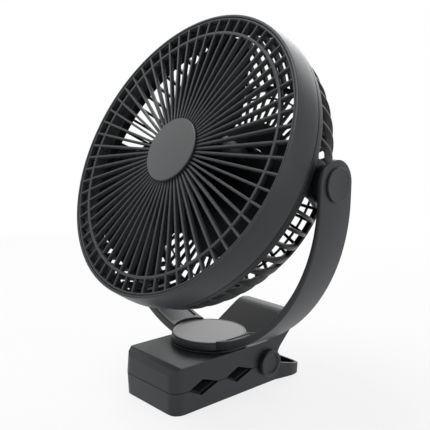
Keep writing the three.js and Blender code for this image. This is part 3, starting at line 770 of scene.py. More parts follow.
def copied(node: str, name: str) -> bpy.types.Object:
    """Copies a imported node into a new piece.

    Args:
        node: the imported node.
        name: the piece's name.

    Returns:
        The piece, without a material.
    """
    made = linked(name, frame["nodes"][node].data.copy())
    made.data.materials.clear()
    return made


def between(a: Vector, b: Vector, c: Vector, d: Vector, t: float) -> Vector:
    """Returns a point of the smooth curve through a, b, c and d, at a share of the way from b to c."""
    return (b * 2 + (c - a) * t + (a * 2 - b * 5 + c * 4 - d) * t**2 + (b * 3 - a - c * 3 + d) * t**3) / 2


def bent(leg: Sequence[Vector], meets: Vector, beyond: Vector, steps: int) -> list[Vector]:
    """Draws a smooth line through a wire's leg that runs on into its coil.

    Args:
        leg: the leg's points, from its free end.
        meets: the coil's first point.
        beyond: the coil's next point.
        steps: segments between two points.

    Returns:
        The line's points, without the coil's own.
    """
    line = [leg[0] * 2 - leg[1], *leg, meets, meets + (beyond - meets).normalized() * 4 * MM]
    spans = range(len(line) - 3)
    return [between(*line[i : i + 4], k / steps) for i in spans for k in range(steps)]


def carved(obj: bpy.types.Object, cutters: Iterable[bpy.types.Object]) -> bpy.types.Object:
    """Cuts closed shapes out of an object and removes them.

    Args:
        obj: the object that is cut.
        cutters: the shapes.

    Returns:
        The object.
    """
    for cutter in cutters:
        cut = obj.modifiers.new("cut", "BOOLEAN")
        cut.operation = "DIFFERENCE"
        cut.solver = "EXACT"
        cut.object = cutter
        settled(obj)
        bpy.data.objects.remove(cutter)
    return obj


# ---------------------------------------------------------------- repeats with geometry nodes
class Ring(Tree):
    """A node group that repeats a piece round the z axis."""

    def __init__(self) -> None:
        """Makes the group with its inputs."""
        super().__init__(bpy.data.node_groups.new("repeat_round_axis", "GeometryNodeTree"))
        self._socket("Geometry", "INPUT", "Geometry")
        self.count = self._socket("Count", "INPUT", "Int")
        self.phase = self._socket("Phase", "INPUT", "Float")
        self.turn = self._socket("Turn", "INPUT", "Float")
        self.finish = self._socket("Finish", "INPUT", "Material")
        self._socket("Geometry", "OUTPUT", "Geometry")
        self._wire()

    def _socket(self, name: str, way: str, kind: str) -> str:
        """Adds an input or output to the group and returns its identifier."""
        return self.tree.interface.new_socket(name, in_out=way, socket_type=f"NodeSocket{kind}").identifier

    def _wire(self) -> None:
        """Adds the nodes: each copy is turned by its number times the step, plus the first one's angle."""
        given = self.node("NodeGroupInput").outputs
        line = self.node("GeometryNodeMeshLine", inputs={"Count": given["Count"], "Offset": (0.0, 0.0, 0.0)})
        number = Value(self, self.node("GeometryNodeInputIndex").outputs["Index"])
        angle = number * Value(self, given["Turn"]) + Value(self, given["Phase"])
        turn = self.node("ShaderNodeCombineXYZ", inputs={"Z": angle})
        rotation = self.node("FunctionNodeEulerToRotation", inputs={0: turn.outputs[0]})
        places = {
            "Points": line.outputs["Mesh"],
            "Instance": given["Geometry"],
            "Rotation": rotation.outputs["Rotation"],
        }
        copies = self.node("GeometryNodeInstanceOnPoints", inputs=places)
        real = self.node("GeometryNodeRealizeInstances", inputs={"Geometry": copies.outputs["Instances"]})
        painted = {"Geometry": real.outputs["Geometry"], "Material": given["Finish"]}
        paint = self.node("GeometryNodeSetMaterial", inputs=painted)
        self.node("NodeGroupOutput", inputs={"Geometry": paint.outputs["Geometry"]})

    def repeat(
        self,
        source: bpy.types.Object,
        count: int,
        finish: bpy.types.Material,
        phase: float = 0.0,
        turn: float | None = None,
    ) -> bpy.types.Object:
        """Repeats an object round the z axis.

        Args:
            source: the object, which is used up.
            count: how many copies there are.
            finish: the copies' material.
            phase: the first copy's angle in radians.
            turn: the angle from one copy to the next, a full turn's share if left out.

        Returns:
            One object with all the copies.
        """
        modifier = source.modifiers.new("repeat", "NODES")
        modifier.node_group = self.tree
        modifier[self.count] = count
        modifier[self.phase] = phase
        modifier[self.turn] = FULL_TURN / count if turn is None else turn
        modifier[self.finish] = finish
        bpy.context.view_layer.update()
        shown = source.evaluated_get(bpy.context.evaluated_depsgraph_get())
        mesh = bpy.data.meshes.new_from_object(shown)
        name = source.name
        bpy.data.objects.remove(source)
        return linked(name, mesh)


# ---------------------------------------------------------------- the head
@dataclass(frozen=True)
class HeadSizes:
    """Sizes of the fan head in its own frame."""

    tilt: float = math.radians(25.0)
    pivot_height: float = 164.5 * MM
    rib_count: int = 60
    rib_width: float = 1.7 * MM
    grille_front: float = 41.1 * MM
    grille_back: float = 37.5 * MM
    grille_radius: float = 104.0 * MM
    rim_width: float = 1.4 * MM
    ring_radius: float = 92.2 * MM
    ring_half_width: float = 1.1 * MM
    hub_radius: float = 22.5 * MM
    badge_radius: float = 23.8 * MM
    badge_front: float = 43.4 * MM
    basket_ribs: int = 56
    ribs_per_pad: int = 3  # ribs that each pivot pad takes the place of
    basket_rib_width: float = 2.0 * MM
    back_radius: float = 85.5 * MM
    back_rim_width: float = 4.4 * MM
    back_disc_radius: float = 54.0 * MM
    back_plane: float = -29.0 * MM
    back_depth: float = 2.6 * MM
    motor_radius: float = 33.0 * MM
    pad_half_height: float = 12.7 * MM


@dataclass(frozen=True)
class BladeSizes:
    """Sizes of the wheel's blades. A share runs from 0 at the hub to 1 at the tip."""

    count: int = 3
    phase: float = math.radians(96.0)
    root: float = 27.9 * MM
    tip: float = 96.5 * MM
    centre: float = 15.0 * MM
    half_width: float = 51.0  # degrees round the axis at the root
    narrowing: float = 15.0  # degrees by which it has narrowed outside
    narrow_from: float = 0.22
    narrow_over: float = 0.38
    corner_from: float = 0.86  # share where the round corners begin
    corner_cut: float = 0.34
    sweep_root: float = -6.0
    sweep: float = 22.0
    sweep_from: float = 0.25
    depth: float = 14.0 * MM  # how deep the twisted blade is at the root
    depth_gain: float = 13.0 * MM
    crown: float = 2.4 * MM
    stations: int = 26
    steps: int = 20


def profile_mm(points: Sequence[Point2]) -> list[Point2]:
    """Turns a list of millimetre pairs into metres."""
    return [(a * MM, b * MM) for a, b in points]


def in_metres(radii: Sequence[float]) -> list[float]:
    """Turns a list of millimetres into metres."""
    return [radius * MM for radius in radii]


def curve_through(points: Sequence[Point2], steps: int) -> list[Point2]:
    """Draws a smooth curve through points.

    Args:
        points: the points in order.
        steps: segments between two points.

    Returns:
        The curve's points, both ends included.
    """
    line = [Vector(point) for point in (points[0], *points, points[-1])]
    spans = range(len(points) - 1)
    curve = [between(*line[i : i + 4], s / steps) for i in spans for s in range(steps)]
    return [*((p.x, p.y) for p in curve), tuple(points[-1])]


class Head:
    """The tilting fan head."""

    def __init__(
        self,
        palette: Palette,
        ring: Ring,
        sizes: HeadSizes = HeadSizes(),
        blade: BladeSizes = BladeSizes(),
    ) -> None:
        """Takes what the head is made with.

        Args:
            palette: the finishes.
            ring: what repeats a piece round the axis.
            sizes: the head's sizes.
            blade: the blades' sizes.
        """
        self.palette = palette
        self.ring = ring
        self.s = sizes
        self.blade = blade
        turn = Matrix.Rotation(math.pi / 2 - sizes.tilt, 4, "X")
        self.pose = Matrix.Translation((0.0, 0.0, sizes.pivot_height)) @ turn

    def place(self, piece: bpy.types.Object, slot: Slot, body: str, *nodes: str) -> bpy.types.Object:
        """Tilts a piece into the frame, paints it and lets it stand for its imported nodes."""
        piece.data.transform(self.pose)
        return settle(piece, self.palette, slot, body, *nodes)

    def _hoop(self, name: str, inner: float, outer: float, low: float, high: float) -> bpy.types.Object:
        """Returns a flat hoop with rounded edges, between two radii and two heights."""
        box = [(inner, low), (outer, low), (outer, high), (inner, high)]
        return turned(name, rounded(box, 0.5 * MM), 240)

    def front_grille(self) -> bpy.types.Object:
        """Makes the front grille: straight ribs, a ring, a rim and a central plate.

        Returns:
            The piece.
        """
        s = self.s
        low, high, half = s.grille_back, s.grille_front, s.rib_width / 2
        box = [(-half, low), (half, low), (half, high), (-half, high)]
        section = rounded(box, in_metres([0.3, 0.3, 0.7, 0.7]))
        ends = (s.hub_radius - 2 * MM, s.grille_radius - 0.8 * MM)
        rib = skinned("grille_rib", [[(x, a, b) for a, b in section] for x in ends])
        smooth(rib, 50.0)
        ribs = self.ring.repeat(rib, s.rib_count, self.palette.materials[Slot.GRILLE])
        near, far = s.ring_radius - s.ring_half_width, s.ring_radius + s.ring_half_width
        inner = self._hoop("grille_ring", near, far, low + 0.2 * MM, high)
        rim = self._hoop("grille_rim", s.grille_radius - s.rim_width, s.grille_radius, low + 0.1 * MM, high)
        disc = [(0.0, low), (s.hub_radius, low), (s.hub_radius, high), (0.0, high)]
        plate = turned("grille_plate", rounded(disc, in_metres([0, 0.4, 0.5, 0])), 128)
        whole = joined("front_grille_cage", [ribs, inner, rim, plate])
        smooth(whole, 50.0)
        return self.place(whole, Slot.GRILLE, "head", "front_grille")

    def front_ring(self) -> bpy.types.Object:
        """Makes the deep front rim with the ledge that the grille sits on.

        Returns:
            The piece.
        """
        ledge = [(104.4, 36.7), (104.4, 41.5), (106.3, 41.5)]
        outside = [(107.4, 34.0), (108.1, 28.0), (108.4, 22.2)]
        inside = [(106.4, 22.2), (105.2, 35.2), (102.8, 35.6), (102.8, 36.7)]
        radii = in_metres([0.2, 0.5, 0.8, 3.0, 3.0, 0.7, 0.3, 0.8, 0.2, 0.2])
        rim = turned("front_rim", rounded(profile_mm([*ledge, *outside, *inside]), radii, 4), 256)
        return self.place(rim, Slot.SHELL, "head", "front_ring")

    def badge(self) -> bpy.types.Object:
        """Makes the plain disc in the grille's centre.

        Returns:
            The piece.
        """
        s = self.s
        back = s.grille_front + 0.3 * MM
        outline = [
            (0.0, back),
            (s.badge_radius - 1.2 * MM, back),
            (s.badge_radius - 0.2 * MM, back + 0.4 * MM),
            (s.badge_radius, s.badge_front - 0.5 * MM),
            (s.badge_radius - 0.5 * MM, s.badge_front),
            (0.0, s.badge_front + 0.02 * MM),
        ]
        disc = turned("hub_disc_plain", rounded(outline, in_metres([0, 0.2, 0.2, 0.4, 0.4, 0])), 160)
        return self.place(disc, Slot.SATIN_DISC, "head", "hub_badge")

    def _basket_rib(self) -> bpy.types.Object:
        """Makes one deep rib that curves from the basket's rim to its back.

        Returns:
            The rib.
        """
        outside = [(107.1, 17.0), (106.2, 10.0), (104.0, 1.0), (100.0, -8.0), (94.4, -17.0)]
        outside += [(88.5, -24.6), (84.8, -28.6)]
        inside = [(81.6, -27.0), (85.2, -22.0), (89.8, -15.6), (94.6, -8.0), (99.2, 2.0), (102.4, 17.0)]
        outline = [point for side in (outside, inside) for point in curve_through(profile_mm(side), 3)]
        half = self.s.basket_rib_width / 2
        rib = skinned("basket_rib", [[(r, across, z) for r, z in outline] for across in (-half, half)])
        soften(rib, 0.35 * MM, 2, 60.0)
        return rib

    def basket(self) -> bpy.types.Object:
        """Makes the rear basket: deep curved ribs, thin hoops, a ribbed back and two pivot pads.

        Returns:
            The piece.
        """
        s = self.s
        rib = self._basket_rib()
        other = linked("basket_rib_below", rib.data.copy())
        pitch = FULL_TURN / s.basket_ribs
        each = s.basket_ribs // 2 - s.ribs_per_pad
        # The basket's ribs, rim and pads take the darker finish as painted shade inside the head.
        finish = self.palette.materials[Slot.DARK]
        upper = self.ring.repeat(rib, each, finish, 2 * pitch, pitch)
        lower = self.ring.repeat(other, each, finish, math.pi + 2 * pitch, pitch)
        outline = profile_mm([(108.2, 21.8), (106.2, 21.8), (104.2, 15.6), (107.1, 15.6)])
        rim = turned("basket_rim", rounded(outline, in_metres([0.9, 0.5, 0.5, 0.5])), 224)
        back = self._back_plate()
        pads = [self._side_pad(side) for side, _ in SIDES]
        whole = joined("rear_basket_cage", [upper, lower, rim, back, *pads])
        smooth(whole, 45.0)
        return self.place(whole, Slot.DARK, "head", "rear_basket")

    def _back_plate(self) -> bpy.types.Object:
        """Makes the flat back: hoops, a closed disc and the straight bars between them.

        Returns:
            The plate.
        """
        s = self.s
        low, high = s.back_plane, s.back_plane + s.back_depth
        rings = [
            self._hoop("back_hoop", s.back_radius - s.back_rim_width, s.back_radius, low, high),
            self._hoop("middle_hoop", 74.4 * MM, 75.8 * MM, low + 0.4 * MM, high - 0.4 * MM),
            self._hoop("back_disc", s.motor_radius + 0.3 * MM, s.back_disc_radius, low, high),
        ]
        near, far = s.back_disc_radius - 2 * MM, s.back_radius - 2.4 * MM
        outline = [(near, -MM), (far, -MM), (far, MM), (near, MM)]
        bar = prism("back_bar", outline, low + 0.05 * MM, high - 0.05 * MM)
        soften(bar, 0.4 * MM)
        # The back's bars take the darker finish too, as painted shade.
        bars = self.ring.repeat(bar, s.basket_ribs, self.palette.materials[Slot.DARK])
        return joined("back_plate", [bars, *rings])

    def _side_pad(self, side: int) -> bpy.types.Object:
        """Makes the pad and the round seat that hold one pivot.

        Args:
            side: 1 for the right, -1 for the left.

        Returns:
            The pad with its seat.
        """
        outside = [(100.6, -2.6), (103.4, 4.6), (103.5, 17.4), (100.8, 17.4)]
        inside = [(98.9, 4.0), (94.4, -6.0), (91.4, -11.4), (93.6, -15.0), (97.2, -10.0)]
        outline = [(side * r, z) for r, z in profile_mm([*outside, *inside])]
        pad = prism("pivot_pad", outline, -self.s.pad_half_height, self.s.pad_half_height)
        pad.data.transform(Matrix.Rotation(math.pi / 2, 4, "X"))
        outward(pad)
        soften(pad, 0.8 * MM)
        disc = profile_mm([(3.4, 98.9), (12.4, 98.9), (12.4, 103.5), (3.4, 103.5)])
        seat = sideways(turned("pivot_seat", rounded(disc, 0.5 * MM), 96), side)
        return joined("pivot_pad", [pad, seat])

    def wheel(self) -> bpy.types.Object:
        """Makes the fan wheel: three blades on a hollow hub.

        Returns:
            The piece.
        """
        b = self.blade
        finish = self.palette.materials[Slot.BLADE]
        blades = self.ring.repeat(self._blade(), b.count, finish, b.phase)
        inside = [(3.6, -6.6), (8, -6.6), (8, 21.4), (27, 20.4), (27, -13)]
        outside = [(29, -13), (29, 21), (26.4, 24), (3.6, 24)]
        radii = in_metres([0.2, 0.2, 0.2, 0.2, 0.2, 0.3, 1.2, 1.4, 0.4])
        hub = turned("wheel_hub", rounded(profile_mm([*inside, *outside]), radii), 128)
        whole = joined("fan_wheel", [blades, hub])
        smooth(whole, 40.0)
        return self.place(whole, Slot.BLADE, "rotor", "fan_blades")

    def _blade_section(self, t: float) -> list[Point3]:
        """Draws a blade's section at one distance from the hub.

        Args:
            t: the share of the way from the root to the tip.

        Returns:
            The section's points, over the upper face and back under the lower one.
        """
        b = self.blade
        radius = b.root + (b.tip - b.root) * t
        narrow = min(max((t - b.narrow_from) / b.narrow_over, 0.0), 1.0)
        narrow = narrow * narrow * (3 - 2 * narrow)
        corner = max(0.0, (t - b.corner_from) / (1 - b.corner_from))
        half = math.radians((b.half_width - b.narrowing * narrow) * (1 - b.corner_cut * corner**2.2))
        outside = max(0.0, (t - b.sweep_from) / (1 - b.sweep_from))
        sweep = math.radians(b.sweep_root + b.sweep * outside**1.3)
        depth = b.depth + b.depth_gain * t
        section = []
        for c in range(2 * b.steps + 2):
            upper = c <= b.steps
            u = c / b.steps if upper else (2 * b.steps + 1 - c) / b.steps
            angle = sweep + half * (2 * u - 1)
            bulge = math.sin(math.pi * u)
            thick = (0.75 + 0.35 * (1 - t)) * (0.35 + 0.65 * bulge) * MM
            z = b.centre + depth * (0.5 - u) + b.crown * bulge + (thick if upper else -thick)
            section.append((radius * math.cos(angle), radius * math.sin(angle), z))
        return section

    def _blade(self) -> bpy.types.Object:
        """Makes one wide, swept and twisted blade.

        Returns:
            The blade.
        """
        b = self.blade
        sections = [self._blade_section((i / b.stations) ** 0.8) for i in range(b.stations + 1)]
        width = len(sections[0])
        faces: list[Face] = []
        for i in range(b.stations):
            for c in range(width):
                d = (c + 1) % width
                faces.append((i * width + c, i * width + d, (i + 1) * width + d, (i + 1) * width + c))
        for row in (0, b.stations):
            for c in range(b.steps):
                a = row * width + c
                d = row * width + width - 1 - c
                faces.append((a, a + 1, d - 1, d))
        blade = new_object("blade", [point for section in sections for point in section], faces)
        smooth(blade, 50.0)
        return blade

    def motor_cover(self) -> bpy.types.Object:
        """Makes the round motor housing in the middle of the back.

        Returns:
            The piece.
        """
        outer = self.s.motor_radius / MM
        inner = outer - 1.8
        outline = [(7.6, -34), (outer, -34), (outer, -17), (inner, -17), (inner, -32.2), (7.6, -32.2)]
        radii = in_metres([0.4, 2.2, 0.3, 0.2, 1.0, 0.2])
        cover = turned("motor_cover", rounded(profile_mm(outline), radii, 5), 160)
        return self.place(cover, Slot.SHELL, "head", "motor_housing")

    def button(self) -> bpy.types.Object:
        """Makes the push button, with a shallow dish for the finger.

        Returns:
            The piece.
        """
        flange = [(0, -31), (8.8, -31), (8.8, -31.9)]
        stem = [(7.1, -31.9), (7.1, -35.2), (5.4, -35.2), (0, -34.75)]
        radii = in_metres([0, 0.1, 0.1, 0.1, 0.7, 0.5, 0])
        cap = turned("push_button", rounded(profile_mm([*flange, *stem]), radii, 4), 96)
        return self.place(cap, Slot.SATIN_DISC, "button", "power_button")

    def pivots(self) -> list[bpy.types.Object]:
        """Makes the round bosses at the tilt axis and their rubber washers.

        Returns:
            The four pieces.
        """
        boss = [(3.3, 103.9), (11, 103.9), (11, 110), (3.3, 110)]
        washer = [(3.3, 110.3), (9, 110.3), (9, 111), (3.3, 111)]
        kinds = ((boss, 0.7, "boss", Slot.DARK), (washer, 0.25, "washer", Slot.RUBBER))
        made = []
        for outline, edge, word, slot in kinds:
            for side, hand in SIDES:
                piece = turned(f"tilt_{word}_{hand}", rounded(profile_mm(outline), edge * MM), 96)
                made.append(self.place(sideways(piece, side), slot, "head", f"pivot_{word}_{hand}"))
        return made

    def build(self) -> list[bpy.types.Object]:
        """Returns every piece of the head."""
        cage = [self.front_grille(), self.front_ring(), self.badge(), self.basket()]
        return [*cage, self.wheel(), self.motor_cover(), self.button(), *self.pivots()]


# ---------------------------------------------------------------- the yoke
@dataclass(frozen=True)
class YokeSizes:
    """Sizes of the C-shaped yoke, whose arms are ellipses below their centre and straight above it."""

    half_depth: float = 15.5 * MM
    centre: float = 154.0 * MM
    outer: Point2 = (114.5 * MM, 119.8 * MM)
    inner: Point2 = (111.3 * MM, 113.0 * MM)
    tilt_height: float = 164.5 * MM
    hub_bottom: float = 36.4 * MM
    disc_radius: float = 28.4 * MM
    disc_top: float = 42.8 * MM
    lip: float = 3.0 * MM
    channel_top: float = 147.0 * MM
    channel_end: float = 30.0 * MM
    channel_above: float = 1.4 * MM  # the channel's depth where an arm stands upright
    channel_below: float = 2.4 * MM  # its depth where the arm lies flat
    closed: float = 0.004 * MM  # its depth elsewhere, so that all sections have the same points
    arc_steps: int = 220
    end_steps: int = 16
    panel_steps: int = 100
    panel_gap: float = 0.3 * MM


def laid(outer: Vector, inner: Vector, outline: Sequence[Point2]) -> list[Vector]:
    """Stands a flat outline across an arm.

    Args:
        outer: where the arm's outer line passes.
        inner: where its inner line passes.
        outline: how deep below the outer line, and how far across the arm, each point lies.

    Returns:
        The points.
    """
    across = inner - outer
    points = []
    for depth, y in outline:
        point = outer + across * (depth / across.length)
        point.y = y
        points.append(point)
    return points


class Yoke:
    """The yoke that carries the head."""

    def __init__(self, palette: Palette, sizes: YokeSizes = YokeSizes()) -> None:
        """Takes the finishes and the yoke's sizes."""
        self.palette = palette
        self.s = sizes

    def disc(self) -> bpy.types.Object:
        """Makes the round cover over the swivel.

        Returns:
            The piece.
        """
        radius, top = self.s.disc_radius, self.s.disc_top
        outline = [
            (0.0, top - 1.3 * MM),
            (radius, top - 1.3 * MM),
            (radius, top),
            (radius - 0.9 * MM, top),
            (radius - 1.3 * MM, top - 0.25 * MM),
            (0.0, top - 0.25 * MM),
        ]
        disc = turned("swivel_disc", rounded(outline, in_metres([0, 0.2, 0.35, 0.2, 0.2, 0])), 160)
        return settle(disc, self.palette, Slot.SATIN_DISC, "yoke", "swivel_cover")

    def _line(self, axes: Point2, angle: float) -> Vector:
        """Returns a point of an arm's line: on an ellipse up to a half turn, and straight up beyond it."""
        if angle <= math.pi:
            return Vector((axes[0] * math.cos(angle), 0.0, self.s.centre - axes[1] * math.sin(angle)))
        return Vector((-axes[0], 0.0, self.s.centre + (angle - math.pi)))

    def _stations(self) -> list[float]:
        """Places the strap's sections from one end to the other.

        Returns:
            An angle for each section of the arc. On the straight ends it is minus the height above
            the arc on the right, and a half turn plus that height on the left.
        """
        s = self.s
        rise = s.tilt_height - s.centre
        shares = [min(i / s.end_steps, 0.999) for i in range(s.end_steps + 1)]
        ends = [rise + s.half_depth * math.sin(math.pi / 2 * share) for share in shares]
        arc = [math.pi * i / s.arc_steps for i in range(s.arc_steps + 1)]
        return [*(-height for height in reversed(ends)), *arc, *(math.pi + height for height in ends)]

    def _section(self, at: float) -> list[Vector]:
        """Draws the strap's section, with its rounded edges and its inner channel.

        Args:
            at: the station.

        Returns:
            The section's points.
        """
        s = self.s
        angle = math.pi - at if at < 0 else at
        outer, inner = self._line(s.outer, angle), self._line(s.inner, angle)
        if at < 0:
            outer.x, inner.x = -outer.x, -inner.x
        depth = s.half_depth
        if outer.z > s.tilt_height:
            depth = math.sqrt(max(s.half_depth**2 - (outer.z - s.tilt_height) ** 2, 1e-10))
        across = inner - outer
        thick = across.length
        sink = s.closed
        if outer.z < s.channel_top and abs(inner.x) > s.channel_end:
            sink = (s.channel_above * abs(across.x) + s.channel_below * abs(across.z)) / thick
        flat, lip = s.half_depth, s.half_depth - s.lip
        box = [(0, -flat), (0, flat), (thick, flat), (thick, lip)]
        box += [(thick - sink, lip), (thick - sink, -lip), (thick, -lip), (thick, -flat)]
        outline = rounded(box, in_metres([1.1, 1.1, 0.7, 0, 0, 0, 0, 0.7]), 4)
        section = laid(outer, inner, [(n, y * depth / flat) for n, y in outline])
        for point in section:
            point.z = max(point.z, s.hub_bottom)
        return section

    def _cutters(self) -> list[bpy.types.Object]:
        """Makes what is cut out of the strap: the seat of the swivel's disc and the two screw holes.

        Returns:
            The closed shapes.
        """
        seat = [(0, 30), (10.3, 30), (10.3, 38.9), (20, 38.9), (20, 41.2), (28.7, 41.2), (28.7, 60), (0, 60)]
        hole = [(0, 90), (3.3, 90), (3.3, 112.9), (6.2, 112.9), (6.2, 130), (0, 130)]
        cutters = [turned("disc_seat", profile_mm(seat), 160)]
        for side, _ in SIDES:
            cutters.append(sideways(turned("screw_hole", profile_mm(hole), 48), side, z=self.s.tilt_height))
        return cutters

    def frame(self) -> bpy.types.Object:
        """Makes the strap and the hub ring.

        Returns:
            The piece.
        """
        strap = carved(skinned("strap", [self._section(at) for at in self._stations()]), self._cutters())
        outside = [(10.3, 36.4), (29, 36.4), (29, 41.6), (28.7, 41.6)]
        inside = [(28.7, 41.2), (20, 41.2), (20, 38.9), (10.3, 38.9)]
        radii = in_metres([0, 0.8, 0.12, 0.05, 0, 0, 0, 0])
        hub = turned("hub_ring", rounded(profile_mm([*outside, *inside]), radii), 160)
        whole = joined("yoke_strap", [strap, hub])
        smooth(whole, 35.0)
        return settle(whole, self.palette, Slot.SHELL, "yoke", "yoke_frame")

    def liners(self) -> list[bpy.types.Object]:
        """Makes the curved panels inside both arms.

        Returns:
            The two pieces.
        """
        s = self.s
        inner_axes = (s.inner[0] + 0.1 * MM, s.inner[1] + 0.8 * MM)
        outer_axes = (s.inner[0] + 1.1 * MM, s.inner[1] + 2.1 * MM)
        first = math.asin((s.centre + s.panel_gap - s.channel_top) / inner_axes[1])
        last = math.acos((s.channel_end + 0.2 * MM) / outer_axes[0])
        half = s.half_depth - s.lip - s.panel_gap
        made = []
        for side, word in SIDES:
            sections = []
            for i in range(s.panel_steps + 1):
                angle = first + (last - first) * i / s.panel_steps
                outer, inner = self._line(outer_axes, angle), self._line(inner_axes, angle)
                thick = (inner - outer).length
                box = [(0, -half), (0, half), (thick, half), (thick, -half)]
                section = laid(outer, inner, rounded(box, in_metres([0.1, 0.1, 0.3, 0.3])))
                sections.append([(side * point.x, point.y, point.z) for point in section])
            panel = skinned(f"arm_panel_{word}", sections)
            smooth(panel, 35.0)
            made.append(settle(panel, self.palette, Slot.SHELL, "yoke", f"yoke_liner_{word}"))
        return made

    def caps(self) -> list[bpy.types.Object]:
        """Makes the round caps at the tilt axis.

        Returns:
            The two pieces.
        """
        outline = profile_mm([(0, 114.8), (11, 114.8), (11, 116.3), (9.9, 116.3), (9.6, 116.1), (0, 116.1)])
        radii = in_metres([0, 0.1, 0.5, 0.15, 0.1, 0])
        made = []
        for side, word in SIDES:
            cap = turned(f"tilt_cap_{word}", rounded(outline, radii), 96)
            sideways(cap, side, z=self.s.tilt_height)
            made.append(settle(cap, self.palette, Slot.SHELL, "yoke", f"yoke_cap_{word}"))
        return made

    def build(self) -> list[bpy.types.Object]:
        """Returns every piece of the yoke."""
        return [self.frame(), *self.liners(), self.disc(), *self.caps()]


# ---------------------------------------------------------------- the clip
@dataclass(frozen=True)
class ClipSizes:
    """Sizes of the clip's rounded edges and of its turned and wound pieces."""

    shell_edge: float = 0.9 * MM
    cover_edge: float = 0.35 * MM
    pad_edge: float = 0.3 * MM
    pivot_y: float = 33.8 * MM
    pivot_z: float = 17.3 * MM
    cap_radius: float = 10.5 * MM
    cap_face: float = 35.4 * MM
    cap_base: float = 31.3 * MM
    spring_wire: float = 1.1 * MM
    spring_radius: float = 7.0 * MM
    spring_turns: int = 8
    spring_pitch: float = 2.9 * MM
    spring_start: float = math.radians(-100.0)
    spring_spare: float = math.radians(130.0)  # turned beyond the whole turns
    coil_steps: int = 28  # for each turn
    leg_steps: int = 8
    wire_sides: int = 12


class Clip:
    """The spring clip with its two jaws."""

    def __init__(self, palette: Palette, sizes: ClipSizes = ClipSizes()) -> None:
        """Takes the finishes and the clip's sizes."""
        self.palette = palette
        self.s = sizes

    def moulded(self, node: str, name: str, slot: Slot, body: str, edge: float) -> bpy.types.Object:
        """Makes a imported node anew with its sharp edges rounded.

        Args:
            node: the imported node.
            name: the piece's name.
            slot: its finish.
            body: the body that it moves with.
            edge: the width of the rounding.

        Returns:
            The piece.
        """
        piece = copied(node, name)
        soften(piece, edge, 3)
        even_shading(piece, 30.0)
        return settle(piece, self.palette, slot, body, node)

    def pin_caps(self) -> list[bpy.types.Object]:
        """Makes the dished caps on the pin.

        Returns:
            The two pieces.
        """
        s = self.s
        outline = [
            (0.0, s.cap_base + 1.9 * MM),
            (3.2 * MM, s.cap_base + 1.9 * MM),
            (3.2 * MM, s.cap_base),
            (s.cap_radius, s.cap_base),
            (s.cap_radius, s.cap_face),
            (7.9 * MM, s.cap_face),
            (7.2 * MM, s.cap_face - 1.3 * MM),
            (0.0, s.cap_face - 1.25 * MM),
        ]
        radii = in_metres([0, 0.1, 0.1, 0.2, 1.1, 0.35, 0.35, 0])
        made = []
        for side, word in SIDES:
            cap = turned(f"pin_disc_{word}", rounded(outline, radii, 4), 112)
            sideways(cap, side, s.pivot_y, s.pivot_z)
            made.append(settle(cap, self.palette, Slot.SHELL, "lower_jaw", f"pin_cap_{word}"))
        return made

    def turntable(self) -> bpy.types.Object:
        """Makes the flange and the hollow spigot that the yoke turns on.

        Returns:
            The piece.
        """
        outline = [(3, 34.6), (29.8, 34.6), (29.8, 36.1), (10, 36.1), (10, 38.9), (3, 38.9)]
        radii = in_metres([0.1, 0.4, 0.4, 0.2, 0.3, 0.1])
        piece = turned("swivel_flange", rounded(profile_mm(outline), radii), 144)
        return settle(piece, self.palette, Slot.DARK, "upper_jaw", "turntable_base")

    def _spring_path(self) -> list[Vector]:
        """Draws the middle line of the spring's wire.

        Returns:
            The points of the lower leg, the coils and the upper leg.
        """
        s = self.s
        steps = s.spring_turns * s.coil_steps
        coil = []
        for i in range(steps + 1):
            share = i / steps
            angle = s.spring_start - share * (s.spring_turns * FULL_TURN + s.spring_spare)
            x = (share - 0.5) * s.spring_turns * s.spring_pitch
            y, z = s.spring_radius * math.cos(angle), s.spring_radius * math.sin(angle)
            coil.append(Vector((x, s.pivot_y + y, s.pivot_z + z)))
        first, last = coil[0], coil[-1]
        below = [(22.0 * MM, 4.6 * MM), (11.0 * MM, 7.2 * MM), (4.0 * MM, first.z - 0.8 * MM)]
        lower = [Vector((first.x, first.y + y, z)) for y, z in below]
        above = profile_mm([(19.0, 15.2), (11.0, 8.8), (3.1, 2.5)])
        upper = [Vector((last.x, last.y + y, last.z + z)) for y, z in above]
        start = bent(lower, first, coil[1], s.leg_steps)
        end = bent(upper, last, coil[-2], s.leg_steps)
        return [*start, *coil, *reversed(end)]

    def spring(self) -> bpy.types.Object:
        """Makes the torsion spring that is wound round the pin.

        Returns:
            The piece.
        """
        s = self.s
        path = self._spring_path()
        angles = [FULL_TURN * k / s.wire_sides for k in range(s.wire_sides)]
        sections = []
        side = Vector((1.0, 0.0, 0.0))
        for i, point in enumerate(path):
            along = (path[min(i + 1, len(path) - 1)] - path[max(i - 1, 0)]).normalized()
            side = (side - along * side.dot(along)).normalized()
            other = along.cross(side)
            ways = [side * math.cos(a) + other * math.sin(a) for a in angles]
            sections.append([point + way * s.spring_wire for way in ways])
        piece = skinned("wound_spring", sections)
        smooth(piece, 50.0)
        self.palette.paint(piece, Slot.STEEL)
        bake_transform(piece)
        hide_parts("clip_spring")
        return piece

    def build(self) -> list[bpy.types.Object]:
        """Makes the clip.

        Returns:
            Every piece of it.
        """
        s = self.s
        return [
            self.moulded("lower_jaw_shell", "lower_jaw_moulding", Slot.SHELL, "lower_jaw", s.shell_edge),
            self.moulded("upper_jaw_shell", "upper_jaw_moulding", Slot.SHELL, "upper_jaw", s.shell_edge),
            self.moulded("top_cover", "top_plate", Slot.SHELL, "upper_jaw", s.cover_edge),
            self.moulded("lower_grip_pad", "lower_rubber", Slot.RUBBER, "lower_jaw", s.pad_edge),
            self.moulded("upper_grip_pad", "upper_rubber", Slot.RUBBER, "upper_jaw", s.pad_edge),
            *self.pin_caps(),
            self.turntable(),
            self.spring(),
        ]


